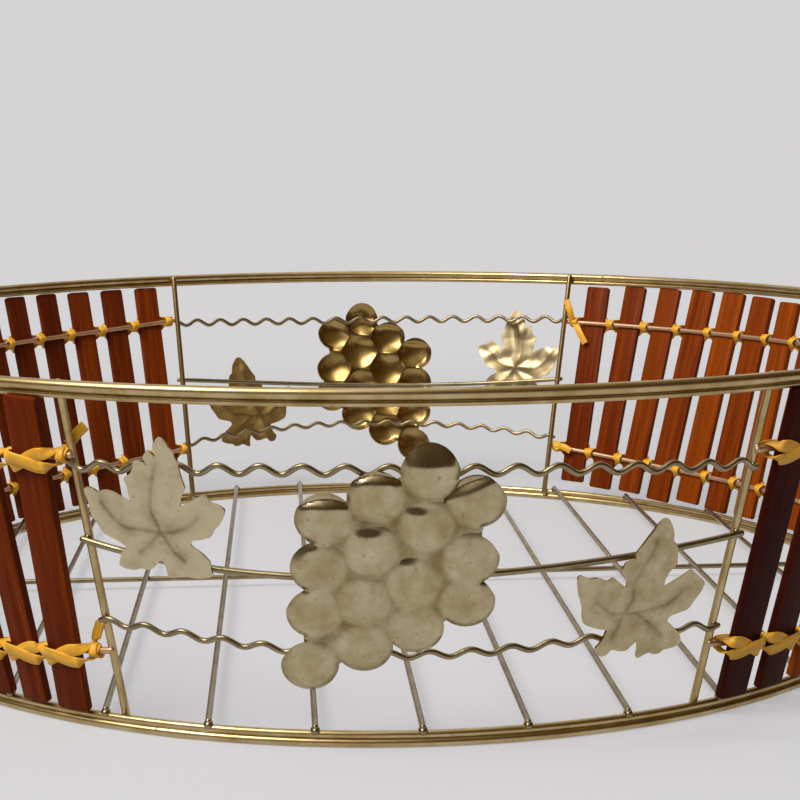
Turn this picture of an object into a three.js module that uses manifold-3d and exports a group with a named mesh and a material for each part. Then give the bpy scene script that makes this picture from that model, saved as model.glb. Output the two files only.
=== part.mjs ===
import * as THREE from 'three';
import { mergeVertices } from 'three/addons/utils/BufferGeometryUtils.js';
import Module from 'manifold-3d';

// Round wire fruit basket with stamped grape ornaments and two screens of laced slats.
// Millimetres, +Z up. It stands on z = 0 with its ornamented front towards -Y.

// Hoops and wires: wire diameters, and radii to a hoop wire's centre.
const GAP = 0.25; // clearance where pieces are welded on the real basket
const HEIGHT = 88.8;
const RIM_RADIUS = 177.8;
const BASE_RADIUS = 155.4;
const RIM_WIRE = 2.8;
const LOWER_RIM_WIRE = 1.5;
const FLOOR_HOOP_WIRE = 2;
const BASE_WIRE = 2.3;
const UPRIGHT_WIRE = 2;
const STRAIGHT_WIRE = 1.7;
const CRIMPED_WIRE = 1.4;
const FLOOR_WIRE = 1.6;
const WIRE_SIDES = 6;
const HOOP_STEPS = 48;

// Floor: wires an inch apart, counted each way from the middle one, over one lengthwise wire.
const FLOOR_PITCH = 25.4;
const FLOOR_WIRES_EACH_WAY = 5;
const FLOOR_SHIFT = 0.9;
const LENGTHWISE_Y = 2.8; // where the lengthwise wire passes the middle, towards the back
const LENGTHWISE_SLANT = 1.2; // degrees

// Panels: front and back, each between two uprights, with their heads and feet in degrees from its middle.
// A wire has its heights at five even places between the uprights, and a crimped one also a crest's place.
const WIRE_END_GAP = 0.4; // between the wires of a panel and of a screen, over the upright they share
const CRIMP_PITCH = 9.7;
const UPPER_CRIMP_DEPTH = 2.1; // crest to trough, at the wire's centre
const LOWER_CRIMP_DEPTH = 1.6;
const CRIMP_STEPS = 6; // per wave
const PANELS = [
  {
    name: 'front',
    angle: -90,
    heads: [-27.9, 28.1],
    feet: [-27.2, 27.1],
    upper: { drops: [19.2, 18.2, 18, 19.2, 21.2], crest: 1.8 }, // drops below the rim's centre
    middle: { heights: [49.9, 44.3, 43.6, 45.5, 48.6] },
    lower: { heights: [29, 25.8, 23.9, 25.3, 24.2], crest: 2 },
    cluster: { along: -7, height: 45.4, turn: 0 },
    leaf_a: { along: -59.8, height: 54.5, turn: 0 },
    leaf_b: { along: 49.4, height: 32.9, turn: 0 },
  },
  {
    name: 'back',
    angle: 88.1,
    heads: [-27.2, 26.9],
    feet: [-26.5, 27.8],
    upper: { drops: [16.8, 17.7, 18.4, 18.3, 17.3], crest: 4.7 },
    middle: { heights: [47.3, 43.8, 43, 44.7, 48] },
    lower: { heights: [24.1, 27.1, 27.9, 26.6, 22.8], crest: 3 },
    cluster: { along: -1.5, height: 44.4, turn: 7 },
    leaf_a: { along: -59, height: 51, turn: 5 },
    leaf_b: { along: 47.1, height: 32.4, turn: 0 },
  },
];

// Stamped ornaments, drawn flat as seen from outside.
const SHEET = 0.8;
const GRAPE_RADIUS = 6.2;
const GRAPE_HEIGHT = 3.4;
const GRAPE_COLUMNS = [
  [[-15.2, 13.7], [-16.4, 1.4], [-17.5, -10.1], [-18.9, -23.9]],
  [[-3.5, 18.9], [-4.7, 5.8], [-6.4, -7.3], [-6.4, -19.1]],
  [[8.4, 25.1], [7.8, 12], [4.9, -2.9], [5.3, -14.2]],
  [[18.9, 17.9], [17.6, 3.4], [16.9, -7.5]],
];
const LEAVES = {
  leaf_a: {
    stem: [0, 0],
    veins: [[0.6, 17], [12.5, 5], [-14, 7], [9.5, -8.5], [-8, -7.5]],
    outline: [
      [2.5, 23.9], [4.2, 22.8], [4.6, 21.4], [5.7, 20.2], [5.8, 18.6], [6.7, 15.5], [7.5, 11.2], [6, 9.1],
      [5.6, 6.6], [7.7, 8], [10.3, 9.5], [12.2, 10.1], [13, 8.3], [16.6, 6.8], [16.3, 5.5], [14.8, 2.9],
      [12.3, -0.4], [9.8, -1.2], [6.9, -2.7], [9.4, -4.4], [11.2, -6.6], [11.3, -8.8], [11.7, -10.5],
      [7.7, -11.2], [4.4, -11], [1, -11.7], [0.3, -10.9], [-0.3, -7.2], [-1.3, -7.3], [-2.4, -8.9],
      [-4.2, -9.9], [-6, -9.4], [-8, -10.2], [-11.6, -9.1], [-10.2, -5.1], [-8.8, -4.4], [-11.1, -2.6],
      [-14.5, -1.1], [-15.2, 1], [-16.4, 3], [-17.2, 7.3], [-17.6, 9.8], [-17.1, 10.7], [-15.4, 10.5],
      [-14.3, 9.3], [-12.6, 10.1], [-9.6, 9.2], [-6, 6.9], [-6.5, 8.7], [-6.6, 11.3], [-7.3, 13.5],
      [-5.3, 14.5], [-4.4, 17.6], [-3.6, 17.9], [-0.8, 15.9], [-2.1, 18.6], [-0.5, 20.9], [1.4, 18.5],
      [0.9, 22],
    ],
  },
  leaf_b: {
    stem: [2.6, 0.8],
    veins: [[4.6, 17], [14.5, 4.8], [-10.5, 6.5], [12, -8.5], [-4, -8.5]],
    outline: [
      [6.1, 24.1], [7, 23.6], [8.6, 20.7], [8.9, 17.6], [10.2, 16.4], [10.8, 11.8], [9.1, 9.9], [8, 7.2],
      [8.3, 5.9], [11.2, 7.6], [15.1, 10], [16.5, 8.5], [19.4, 6.2], [18.7, 3.8], [15.8, -0.8], [13.2, -1.5],
      [10.3, -3.2], [12.8, -5.5], [14.7, -7.5], [15.3, -9.9], [13, -11], [9.8, -12.2], [8.2, -12.2],
      [6.5, -11.4], [4.2, -12.7], [3.5, -12.6], [3.6, -10.3], [3, -7.8], [0.7, -10.4], [-1.5, -10.2],
      [-3.4, -9.5], [-4.9, -11.1], [-6.8, -10.9], [-7.9, -8.9], [-6.6, -7.3], [-5.4, -4], [-8.4, -3.3],
      [-11.8, -1.8], [-12.6, 2.3], [-14.3, 6.4], [-15.1, 10.8], [-14.3, 11.2], [-12, 10.1], [-9.7, 10.3],
      [-7.3, 9], [-5.7, 9.9], [-3.9, 8.4], [-1.6, 6.4], [-2, 8.6], [-3.5, 11.4], [-3, 13.5], [-0.5, 14.2],
      [-0.7, 15.9], [0.7, 17.7], [3.5, 22.2], [5, 23.8],
    ],
  },
};
const VEIN_WIDTH = 1.4;
const VEIN_DEPTH = 0.4;

// Slat screens: one at each end, between two uprights that are named by the places of panel and side.
const SLAT_WIDTH = 9.4;
const SLAT_THICKNESS = 2.2;
const SLAT_CORNER = 1.2;
const SLAT_END_GAP = 0.9; // to the lower rim hoop above and the floor hoop below
const SLAT_SEAT = 0.3; // how far a slat beds on its wires
const SCREENS = [
  { name: 'right', slats: 25, first: -59.2, last: 57.4, from: [0, 1], to: [1, 0] },
  { name: 'left', slats: 26, first: 118.8, last: 238.75, from: [1, 1], to: [0, 0] },
];
const UPPER_SLAT_WIRE_DROP = 17.2; // ends below the rim's centre
const UPPER_SLAT_WIRE_SAG = 1.6;
const LOWER_SLAT_WIRE_RISE = 17.9; // ends above the floor hoop's centre
const LOWER_SLAT_WIRE_SAG = 4.7;
const SLAT_WIRE_SAG_POWER = 8; // the sag is level between the ends

// Lacing: a flat strip that winds round each slat wire, once in every gap between slats.
const LACE_WIDTH = 2.4;
const LACE_THICKNESS = 0.8;
const LACE_CLEARANCE = 0.5;
const LACE_TURN_CLEARANCE = 0.35; // to the wire's corners
const LACE_TURNS = [90, 180, 270]; // degrees round the wire from outwards, over the top
const LACE_RISE = 2; // above and below the wire where it leaves a slat's face
const LACE_LEAST_GAP = 0.4;

// Shared places on the flared wall, which runs through the centres of the rim and floor hoops.
const flatHalf = (wire) => (wire / 2) * Math.cos(Math.PI / WIRE_SIDES);
const baseZ = flatHalf(BASE_WIRE);
const floorHoopZ = baseZ + flatHalf(BASE_WIRE) + GAP + flatHalf(FLOOR_HOOP_WIRE);
const rimZ = HEIGHT - flatHalf(RIM_WIRE);
const lowerRimZ = rimZ - flatHalf(RIM_WIRE) - GAP - flatHalf(LOWER_RIM_WIRE);
const flare = (RIM_RADIUS - BASE_RADIUS) / (rimZ - floorHoopZ);
const lean = Math.atan(flare);
const uprightOut = -((RIM_WIRE + UPRIGHT_WIRE) / 2 + GAP);
const outsideUprights = (wire) => uprightOut + (UPRIGHT_WIRE + wire) / 2 + GAP;
const ornamentOut = outsideUprights(STRAIGHT_WIRE) + STRAIGHT_WIRE / 2 + GAP;
const slatOut = outsideUprights(STRAIGHT_WIRE) + STRAIGHT_WIRE / 2 - SLAT_SEAT;
const slatBottom = floorHoopZ + flatHalf(FLOOR_HOOP_WIRE) + SLAT_END_GAP;
const slatTop = lowerRimZ - flatHalf(LOWER_RIM_WIRE) - SLAT_END_GAP;
const slatWires = [
  { name: 'upper', end: rimZ - UPPER_SLAT_WIRE_DROP, sag: UPPER_SLAT_WIRE_SAG },
  { name: 'lower', end: floorHoopZ + LOWER_SLAT_WIRE_RISE, sag: LOWER_SLAT_WIRE_SAG },
];

const radians = THREE.MathUtils.degToRad;
const wallRadius = (z) => BASE_RADIUS + flare * (z - floorHoopZ);

// The smooth line through heights at even places, with `across` running from -1 to 1 between the ends.
function heightThrough(heights, across) {
  const places = heights.map((_, i) => (2 * i) / (heights.length - 1) - 1);
  return heights.reduce((sum, height, i) => {
    const others = places.filter((_, j) => j !== i);
    const share = others.reduce((part, place) => (part * (across - place)) / (places[i] - place), 1);
    return sum + height * share;
  }, 0);
}

function wallPoint(degrees, z, out) {
  const angle = radians(degrees);
  const radius = wallRadius(z) + out;
  return new THREE.Vector3(radius * Math.cos(angle), radius * Math.sin(angle), z);
}

// Stands a piece against the wall: its x runs along the wall, its y up the flare and its z outwards.
function wallMatrix(degrees, z, out) {
  const angle = radians(degrees);
  const along = new THREE.Vector3(-Math.sin(angle), Math.cos(angle), 0);
  const outwards = new THREE.Vector3(Math.cos(angle), Math.sin(angle), 0).multiplyScalar(Math.cos(lean));
  outwards.z = -Math.sin(lean);
  const upwards = new THREE.Vector3().crossVectors(outwards, along);
  return new THREE.Matrix4().makeBasis(along, upwards, outwards).setPosition(wallPoint(degrees, z, out));
}

function uprightDegrees(panel, side, z) {
  const share = (z - floorHoopZ) / (rimZ - floorHoopZ);
  return panel.angle + THREE.MathUtils.lerp(panel.feet[side], panel.heads[side], share);
}

// Where a wire at this height ends on an upright, just short of its middle.
function wireEnd(panel, side, z, direction) {
  const short = THREE.MathUtils.radToDeg(WIRE_END_GAP / 2 / wallRadius(z));
  return uprightDegrees(panel, side, z) + direction * short;
}

// Materials
const metal = (color, roughness) => ({ color, roughness, metalness: 1 });
const WIRE_BRASS = metal(0xb99a5a, 0.28);
const SHEET_BRASS = metal(0xc0a76c, 0.32);
const STAINED_WOOD = { color: 0x7a2e08, roughness: 0.5, metalness: 0 };
const YELLOW_LACE = { color: 0xe0a52a, roughness: 0.6, metalness: 0 };

const basket = new THREE.Group();

function addPiece(name, geometry, look, matrix = new THREE.Matrix4()) {
  const mesh = new THREE.Mesh(geometry, new THREE.MeshStandardMaterial(look));
  mesh.name = name;
  mesh.applyMatrix4(matrix);
  basket.add(mesh);
}

// Joining and cutting
const wasm = await Module();
wasm.setup();

function toSolid(geometry, matrix = new THREE.Matrix4()) {
  const bare = geometry.clone().applyMatrix4(matrix);
  bare.deleteAttribute('normal');
  bare.deleteAttribute('uv');
  const merged = mergeVertices(bare, 1e-4);
  const triangles = [];
  for (let i = 0; i < merged.index.count; i += 3) {
    const [a, b, c] = [0, 1, 2].map((k) => merged.index.getX(i + k));
    if (a !== b && b !== c && c !== a) triangles.push(a, b, c);
  }
  const vertProperties = new Float32Array(merged.attributes.position.array);
  const mesh = new wasm.Mesh({ numProp: 3, vertProperties, triVerts: new Uint32Array(triangles) });
  return new wasm.Manifold(mesh);
}

function toGeometry(solid) {
  const mesh = solid.getMesh();
  const geometry = new THREE.BufferGeometry();
  geometry.setAttribute('position', new THREE.BufferAttribute(mesh.vertProperties, 3));
  geometry.setIndex(new THREE.BufferAttribute(mesh.triVerts, 1));
  geometry.computeVertexNormals();
  return geometry;
}

const joinAll = (solids) => solids.reduce((whole, solid) => whole.add(solid));

// Hoops
function addHoop(name, wire, radius, z) {
  const geometry = new THREE.TorusGeometry(radius, wire / 2, WIRE_SIDES, HOOP_STEPS);
  addPiece(name, geometry, WIRE_BRASS, new THREE.Matrix4().makeTranslation(0, 0, z));
}

addHoop('rim_hoop', RIM_WIRE, RIM_RADIUS, rimZ);
addHoop('lower_rim_hoop', LOWER_RIM_WIRE, wallRadius(lowerRimZ), lowerRimZ);
addHoop('floor_hoop', FLOOR_HOOP_WIRE, BASE_RADIUS, floorHoopZ);
addHoop('base_hoop', BASE_WIRE, BASE_RADIUS, baseZ);

// Straight rods
function rod(name, start, end, wire) {
  const length = start.distanceTo(end);
  const geometry = new THREE.CylinderGeometry(wire / 2, wire / 2, length, WIRE_SIDES);
  const direction = new THREE.Vector3().subVectors(end, start).normalize();
  const turn = new THREE.Quaternion().setFromUnitVectors(new THREE.Vector3(0, 1, 0), direction);
  const middle = new THREE.Vector3().addVectors(start, end).multiplyScalar(0.5);
  const matrix = new THREE.Matrix4().compose(middle, turn, new THREE.Vector3(1, 1, 1));
  addPiece(name, geometry, WIRE_BRASS, matrix);
}

const floorWireZ = floorHoopZ + flatHalf(FLOOR_HOOP_WIRE) + GAP + FLOOR_WIRE / 2;
for (let k = -FLOOR_WIRES_EACH_WAY; k <= FLOOR_WIRES_EACH_WAY; k++) {
  const x = FLOOR_SHIFT + k * FLOOR_PITCH;
  const y = Math.sqrt(BASE_RADIUS ** 2 - x ** 2);
  const name = `floor_wire_${k + FLOOR_WIRES_EACH_WAY + 1}`;
  rod(name, new THREE.Vector3(x, -y, floorWireZ), new THREE.Vector3(x, y, floorWireZ), FLOOR_WIRE);
}

const lengthwiseZ = floorWireZ - FLOOR_WIRE - GAP;
const lengthwiseReach = BASE_RADIUS - FLOOR_HOOP_WIRE / 2 - 2 * GAP;
const slant = radians(LENGTHWISE_SLANT);
const aside = LENGTHWISE_Y * Math.cos(slant);
const [lengthwiseStart, lengthwiseEnd] = [-1, 1].map((sign) => {
  const along = sign * Math.sqrt(lengthwiseReach ** 2 - aside ** 2);
  const x = along * Math.cos(slant) - aside * Math.sin(slant);
  const y = along * Math.sin(slant) + aside * Math.cos(slant);
  return new THREE.Vector3(x, y, lengthwiseZ);
});
rod('floor_lengthwise_wire', lengthwiseStart, lengthwiseEnd, FLOOR_WIRE);

// Wires bent round the wall, with `across` running from -1 to 1 between their ends
class WallCurve extends THREE.Curve {
  constructor(from, to, out, heightAt) {
    super();
    Object.assign(this, { from, to, out, heightAt });
    this.arcLengthDivisions = 1000;
  }

  getPoint(t) {
    const degrees = THREE.MathUtils.lerp(this.from, this.to, t);
    return wallPoint(degrees, this.heightAt(2 * t - 1, degrees), this.out);
  }
}

function circleShape(radius, sides) {
  const shape = new THREE.Shape();
  for (let k = 0; k < sides; k++) {
    const angle = (2 * Math.PI * k) / sides;
    const place = k === 0 ? 'moveTo' : 'lineTo';
    shape[place](radius * Math.cos(angle), radius * Math.sin(angle));
  }
  return shape;
}

function bentWire(curve, wire, sides, steps) {
  const section = circleShape(wire / 2, sides);
  return new THREE.ExtrudeGeometry(section, { extrudePath: curve, steps, curveSegments: 1 });
}

// Ornaments
function dome(radius, height, bottom, sides, levels) {
  const profile = [new THREE.Vector2(0, bottom), new THREE.Vector2(radius, bottom)];
  for (const degrees of levels) {
    const angle = radians(degrees);
    profile.push(new THREE.Vector2(radius * Math.cos(angle), height * Math.sin(angle)));
  }
  profile.push(new THREE.Vector2(0, height));
  return new THREE.LatheGeometry(profile, sides).rotateX(Math.PI / 2);
}

// The web closes the sheet between neighbouring grapes.
function clusterGeometry() {
  const columns = GRAPE_COLUMNS.map((column) => column.map(([x, y]) => new THREE.Vector2(x, y)));
  const place = (centre) => new THREE.Matrix4().makeTranslation(centre.x, centre.y, 0);
  const [first, ...rest] = columns;
  const last = rest[rest.length - 1];
  const tops = rest.slice(0, -1).map((column) => column[0]);
  const bottoms = rest.slice(0, -1).map((column) => column[column.length - 1]).reverse();
  const outline = [...first.toReversed(), ...tops, ...last, ...bottoms];
  const web = new THREE.ExtrudeGeometry(new THREE.Shape(outline), { depth: SHEET, bevelEnabled: false });
  const centres = columns.flat();
  const grape = dome(GRAPE_RADIUS, GRAPE_HEIGHT, 0, 8, [35, 65]);
  const hollow = dome(GRAPE_RADIUS - SHEET, GRAPE_HEIGHT - SHEET, -1, 6, [45]);
  const outside = centres.map((centre) => toSolid(grape, place(centre)));
  const inside = centres.map((centre) => toSolid(hollow, place(centre)));
  const shell = joinAll([toSolid(web), ...outside]).subtract(joinAll(inside));
  return toGeometry(shell);
}

function leafGeometry({ outline, stem, veins }) {
  const shape = new THREE.Shape(outline.map(([x, y]) => new THREE.Vector2(x, y)));
  const blade = new THREE.ExtrudeGeometry(shape, { depth: SHEET, bevelEnabled: false });
  const grooves = veins.map((end) => {
    const x = end[0] - stem[0];
    const y = end[1] - stem[1];
    const groove = new THREE.Shape();
    groove.moveTo(0, SHEET - VEIN_DEPTH);
    groove.lineTo(VEIN_WIDTH / 2, SHEET + 0.1);
    groove.lineTo(-VEIN_WIDTH / 2, SHEET + 0.1);
    const cutter = new THREE.ExtrudeGeometry(groove, { depth: Math.hypot(x, y), bevelEnabled: false });
    cutter.rotateX(Math.PI / 2).rotateZ(Math.atan2(y, x) + Math.PI / 2);
    return toSolid(cutter.translate(stem[0], stem[1], 0));
  });
  return toGeometry(toSolid(blade).subtract(joinAll(grooves)));
}

function panelCurve(panel, heights, out, wave) {
  const from = wireEnd(panel, 0, heights[0], 1);
  const to = wireEnd(panel, 1, heights[heights.length - 1], -1);
  return new WallCurve(from, to, out, (across, degrees) => heightThrough(heights, across) + wave(degrees));
}

function addPanel(panel) {
  const { name, angle, upper, middle, lower } = panel;
  ['left', 'right'].forEach((side, i) => {
    const foot = wallPoint(uprightDegrees(panel, i, floorHoopZ), floorHoopZ, uprightOut);
    const headZ = HEIGHT - GAP;
    const head = wallPoint(uprightDegrees(panel, i, headZ), headZ, uprightOut);
    rod(`${name}_upright_${side}`, foot, head, UPRIGHT_WIRE);
  });

  const straight = panelCurve(panel, middle.heights, outsideUprights(STRAIGHT_WIRE), () => 0);
  addPiece(`${name}_middle_wire`, bentWire(straight, STRAIGHT_WIRE, WIRE_SIDES, 16), WIRE_BRASS);

  const addCrimped = (level, heights, crest, depth) => {
    const radius = wallRadius(heights[2]);
    const wave = (degrees) => {
      const along = radians(degrees - angle) * radius - crest;
      return (depth / 2) * Math.cos((2 * Math.PI * along) / CRIMP_PITCH);
    };
    const curve = panelCurve(panel, heights, outsideUprights(CRIMPED_WIRE), wave);
    const waves = (radians(curve.to - curve.from) * radius) / CRIMP_PITCH;
    const geometry = bentWire(curve, CRIMPED_WIRE, 4, Math.round(waves * CRIMP_STEPS));
    addPiece(`${name}_${level}_crimped_wire`, geometry, WIRE_BRASS);
  };
  addCrimped('upper', upper.drops.map((drop) => rimZ - drop), upper.crest, UPPER_CRIMP_DEPTH);
  addCrimped('lower', lower.heights, lower.crest, LOWER_CRIMP_DEPTH);

  const ornament = (label, geometry, { along, height, turn }) => {
    const degrees = angle + THREE.MathUtils.radToDeg(along / wallRadius(height));
    const matrix = wallMatrix(degrees, height, ornamentOut);
    matrix.multiply(new THREE.Matrix4().makeRotationZ(radians(turn)));
    addPiece(`${name}_${label}`, geometry, SHEET_BRASS, matrix);
  };
  ornament('grape_cluster', clusterGeometry(), panel.cluster);
  for (const [label, leaf] of Object.entries(LEAVES)) ornament(label, leafGeometry(leaf), panel[label]);
}

PANELS.forEach(addPanel);

// Slat screens
function slatGeometry() {
  const half = SLAT_WIDTH / 2;
  const length = (slatTop - slatBottom) / Math.cos(lean);
  const shape = new THREE.Shape();
  shape.moveTo(half - SLAT_CORNER, 0);
  shape.lineTo(half, SLAT_CORNER);
  shape.lineTo(half, length - SLAT_CORNER);
  shape.lineTo(half - SLAT_CORNER, length);
  shape.lineTo(SLAT_CORNER - half, length);
  shape.lineTo(-half, length - SLAT_CORNER);
  shape.lineTo(-half, SLAT_CORNER);
  shape.lineTo(SLAT_CORNER - half, 0);
  return new THREE.ExtrudeGeometry(shape, { depth: SLAT_THICKNESS, bevelEnabled: false });
}

const slatAngle = (screen, i) => THREE.MathUtils.lerp(screen.first, screen.last, i / (screen.slats - 1));
const slatWireDip = (wire, across) => wire.end - wire.sag * (1 - Math.abs(across) ** SLAT_WIRE_SAG_POWER);

function slatWireEnds({ from, to }, wire) {
  const first = wireEnd(PANELS[from[0]], from[1], wire.end, 1);
  const last = wireEnd(PANELS[to[0]], to[1], wire.end, -1);
  return [first, last > first ? last : last + 360];
}

function slatWireHeight(screen, wire, degrees) {
  const [first, last] = slatWireEnds(screen, wire);
  return slatWireDip(wire, (2 * (degrees - first)) / (last - first) - 1);
}

function screenGeometry(screen) {
  const slat = slatGeometry();
  const slats = Array.from({ length: screen.slats }, (_, i) =>
    toSolid(slat, wallMatrix(slatAngle(screen, i), slatBottom, slatOut)),
  );
  const wires = slatWires.map((wire) => {
    const [first, last] = slatWireEnds(screen, wire);
    const heightAt = (across) => slatWireDip(wire, across);
    const curve = new WallCurve(first, last, outsideUprights(STRAIGHT_WIRE), heightAt);
    return toSolid(bentWire(curve, STRAIGHT_WIRE, 4, 2 * screen.slats));
  });
  return toGeometry(joinAll([...slats, ...wires]));
}

// One winding: across each slat's face from below the wire to above it, then round the wire in the gap.
// Each place on it has the direction that the strip's flat side faces there.
function lacePlaces(screen, wire) {
  const places = [];
  const faceOut = slatOut + SLAT_THICKNESS / Math.cos(lean) + LACE_CLEARANCE + LACE_THICKNESS / 2;
  const wireOut = outsideUprights(STRAIGHT_WIRE);
  const turnRadius = (STRAIGHT_WIRE / 2) * Math.SQRT2 + LACE_THICKNESS / 2 + LACE_TURN_CLEARANCE;
  const add = (degrees, rise, out, tilt) => {
    const z = slatWireHeight(screen, wire, degrees) + rise;
    const facing = new THREE.Vector3(Math.cos(radians(degrees)), Math.sin(radians(degrees)), 0);
    facing.multiplyScalar(Math.cos(radians(tilt))).setZ(Math.sin(radians(tilt)));
    places.push({ centre: wallPoint(degrees, z, out - flare * rise), facing });
  };
  for (let i = 0; i < screen.slats; i++) {
    const degrees = slatAngle(screen, i);
    const radius = wallRadius(slatWireHeight(screen, wire, degrees));
    const edge = THREE.MathUtils.radToDeg((SLAT_WIDTH / 2 + LACE_CLEARANCE) / radius);
    const leaning = -THREE.MathUtils.radToDeg(lean);
    add(degrees - edge, -LACE_RISE, faceOut - flare * LACE_RISE, leaning);
    add(degrees + edge, LACE_RISE, faceOut + flare * LACE_RISE, leaning);
    if (i === screen.slats - 1) break;

    const gap = (degrees + slatAngle(screen, i + 1)) / 2;
    for (const turn of LACE_TURNS) {
      const away = turnRadius * Math.cos(radians(turn));
      add(gap, turnRadius * Math.sin(radians(turn)), wireOut + away, turn);
    }
  }
  return places;
}

// Flat sections square to the path. The strip twists one way, and its faces are split so that it bulges there.
function stripGeometry(places) {
  const points = places.flatMap(({ centre, facing }, i) => {
    const before = places[Math.max(i - 1, 0)].centre;
    const after = places[Math.min(i + 1, places.length - 1)].centre;
    const forwards = new THREE.Vector3().subVectors(after, before).normalize();
    const width = new THREE.Vector3().crossVectors(facing, forwards).setLength(LACE_WIDTH / 2);
    const thickness = new THREE.Vector3().crossVectors(forwards, width).setLength(LACE_THICKNESS / 2);
    return [
      centre.clone().add(width).add(thickness),
      centre.clone().sub(width).add(thickness),
      centre.clone().sub(width).sub(thickness),
      centre.clone().add(width).sub(thickness),
    ];
  });
  const index = [0, 2, 1, 0, 3, 2];
  for (let ring = 0; ring < places.length - 1; ring++) {
    for (let k = 0; k < 4; k++) {
      const a = ring * 4 + k;
      const b = ring * 4 + ((k + 1) % 4);
      index.push(a, b, b + 4, a, b + 4, a + 4);
    }
  }
  const end = points.length - 4;
  index.push(end, end + 1, end + 2, end, end + 2, end + 3);
  const geometry = new THREE.BufferGeometry().setFromPoints(points);
  geometry.setIndex(index);
  geometry.computeVertexNormals();
  return geometry;
}

// Least distance between stretches of the strip at least half a turn apart, less its thickness.
function leastSelfGap(places) {
  const path = new THREE.CurvePath();
  places.slice(1).forEach(({ centre }, i) => path.add(new THREE.LineCurve3(places[i].centre, centre)));
  const samples = path.curves.map((line) => [0, 0.25, 0.5, 0.75].map((t) => line.getPoint(t)));
  let least = Infinity;
  for (let i = 0; i < samples.length; i++) {
    for (let j = i + 4; j < Math.min(samples.length, i + 12); j++) {
      for (const a of samples[i]) {
        for (const b of samples[j]) least = Math.min(least, a.distanceTo(b));
      }
    }
  }
  return least - LACE_THICKNESS;
}

for (const screen of SCREENS) {
  addPiece(`${screen.name}_slat_screen`, screenGeometry(screen), STAINED_WOOD);
  for (const wire of slatWires) {
    const places = lacePlaces(screen, wire);
    const gap = leastSelfGap(places);
    const verdict = gap > LACE_LEAST_GAP ? 'clear' : 'too close';
    console.log(`${screen.name} ${wire.name} lacing: least gap to itself ${gap.toFixed(2)} mm, ${verdict}`);
    addPiece(`${screen.name}_${wire.name}_lacing`, stripGeometry(places), YELLOW_LACE);
  }
}

export default basket;
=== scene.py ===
import math

import bpy
import numpy as np
from mathutils.geometry import delaunay_2d_cdt
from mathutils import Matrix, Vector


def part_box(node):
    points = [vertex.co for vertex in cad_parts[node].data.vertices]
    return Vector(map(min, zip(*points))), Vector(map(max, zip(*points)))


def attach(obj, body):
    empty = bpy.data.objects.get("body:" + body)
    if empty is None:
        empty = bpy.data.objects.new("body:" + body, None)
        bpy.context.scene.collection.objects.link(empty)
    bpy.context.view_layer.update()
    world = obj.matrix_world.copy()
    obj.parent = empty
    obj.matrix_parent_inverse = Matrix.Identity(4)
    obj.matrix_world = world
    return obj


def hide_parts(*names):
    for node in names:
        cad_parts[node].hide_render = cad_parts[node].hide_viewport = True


# Round fruit basket of brass wire, with stamped grape and leaf ornaments and two screens of laced slats.
# Sizes and places are millimetres, in the frame's own axes, and become metres where a mesh is made.

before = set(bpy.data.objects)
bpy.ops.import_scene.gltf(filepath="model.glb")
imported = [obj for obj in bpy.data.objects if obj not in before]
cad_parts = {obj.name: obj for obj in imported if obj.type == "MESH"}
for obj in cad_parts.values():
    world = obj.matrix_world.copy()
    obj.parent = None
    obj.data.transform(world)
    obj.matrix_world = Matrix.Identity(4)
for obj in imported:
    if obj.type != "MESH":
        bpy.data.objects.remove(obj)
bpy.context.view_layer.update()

MM = 0.001

# Wire diameters
RIM_WIRE = 2.8
LOWER_RIM_WIRE = 1.6
FLOOR_HOOP_WIRE = 2.0
BASE_WIRE = 2.3
UPRIGHT_WIRE = 2.0
STRAIGHT_WIRE = 1.7
CRIMPED_WIRE = 1.4
FLOOR_WIRE = 1.6
WELD_SINK = 0.08  # how far welded wires sink into each other

# Front and back panels. Uprights have their heads and feet in degrees from the panel's middle, wires their
# heights at five even places between them, and a crimped wire also a crest's place along the wall.
# Stampings have their place along the wall, their height and their turn in degrees.
PANEL_WIRE_OVERHANG = 0.3  # degrees past the uprights
CRIMP_PITCH = 9.7
PANELS = [
    {
        "name": "front",
        "angle": -90,
        "heads": (-27.9, 28.1),
        "feet": (-27.2, 27.1),
        "upper": {"heights": (68.4, 69.4, 69.6, 68.4, 66.4), "crimp": 2.1, "crest": 1.8},
        "middle": {"heights": (49.9, 44.3, 43.6, 45.5, 48.6)},
        "lower": {"heights": (29.0, 25.8, 23.9, 25.3, 24.2), "crimp": 1.6, "crest": 2.0},
        "cluster": {"along": -7, "height": 45.4, "turn": 0},
        "leaf_a": {"along": -59.8, "height": 54.5, "turn": 0},
        "leaf_b": {"along": 49.4, "height": 32.9, "turn": 0},
    },
    {
        "name": "back",
        "angle": 88.1,
        "heads": (-27.2, 26.9),
        "feet": (-26.5, 27.8),
        "upper": {"heights": (70.8, 69.9, 69.2, 69.3, 70.3), "crimp": 2.1, "crest": 4.7},
        "middle": {"heights": (47.3, 43.8, 43.0, 44.7, 48.0)},
        "lower": {"heights": (24.1, 27.1, 27.9, 26.6, 22.8), "crimp": 1.6, "crest": 3.0},
        "cluster": {"along": -1.5, "height": 44.4, "turn": 7},
        "leaf_a": {"along": -59, "height": 51, "turn": 5},
        "leaf_b": {"along": 47.1, "height": 32.4, "turn": 0},
    },
]

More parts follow.
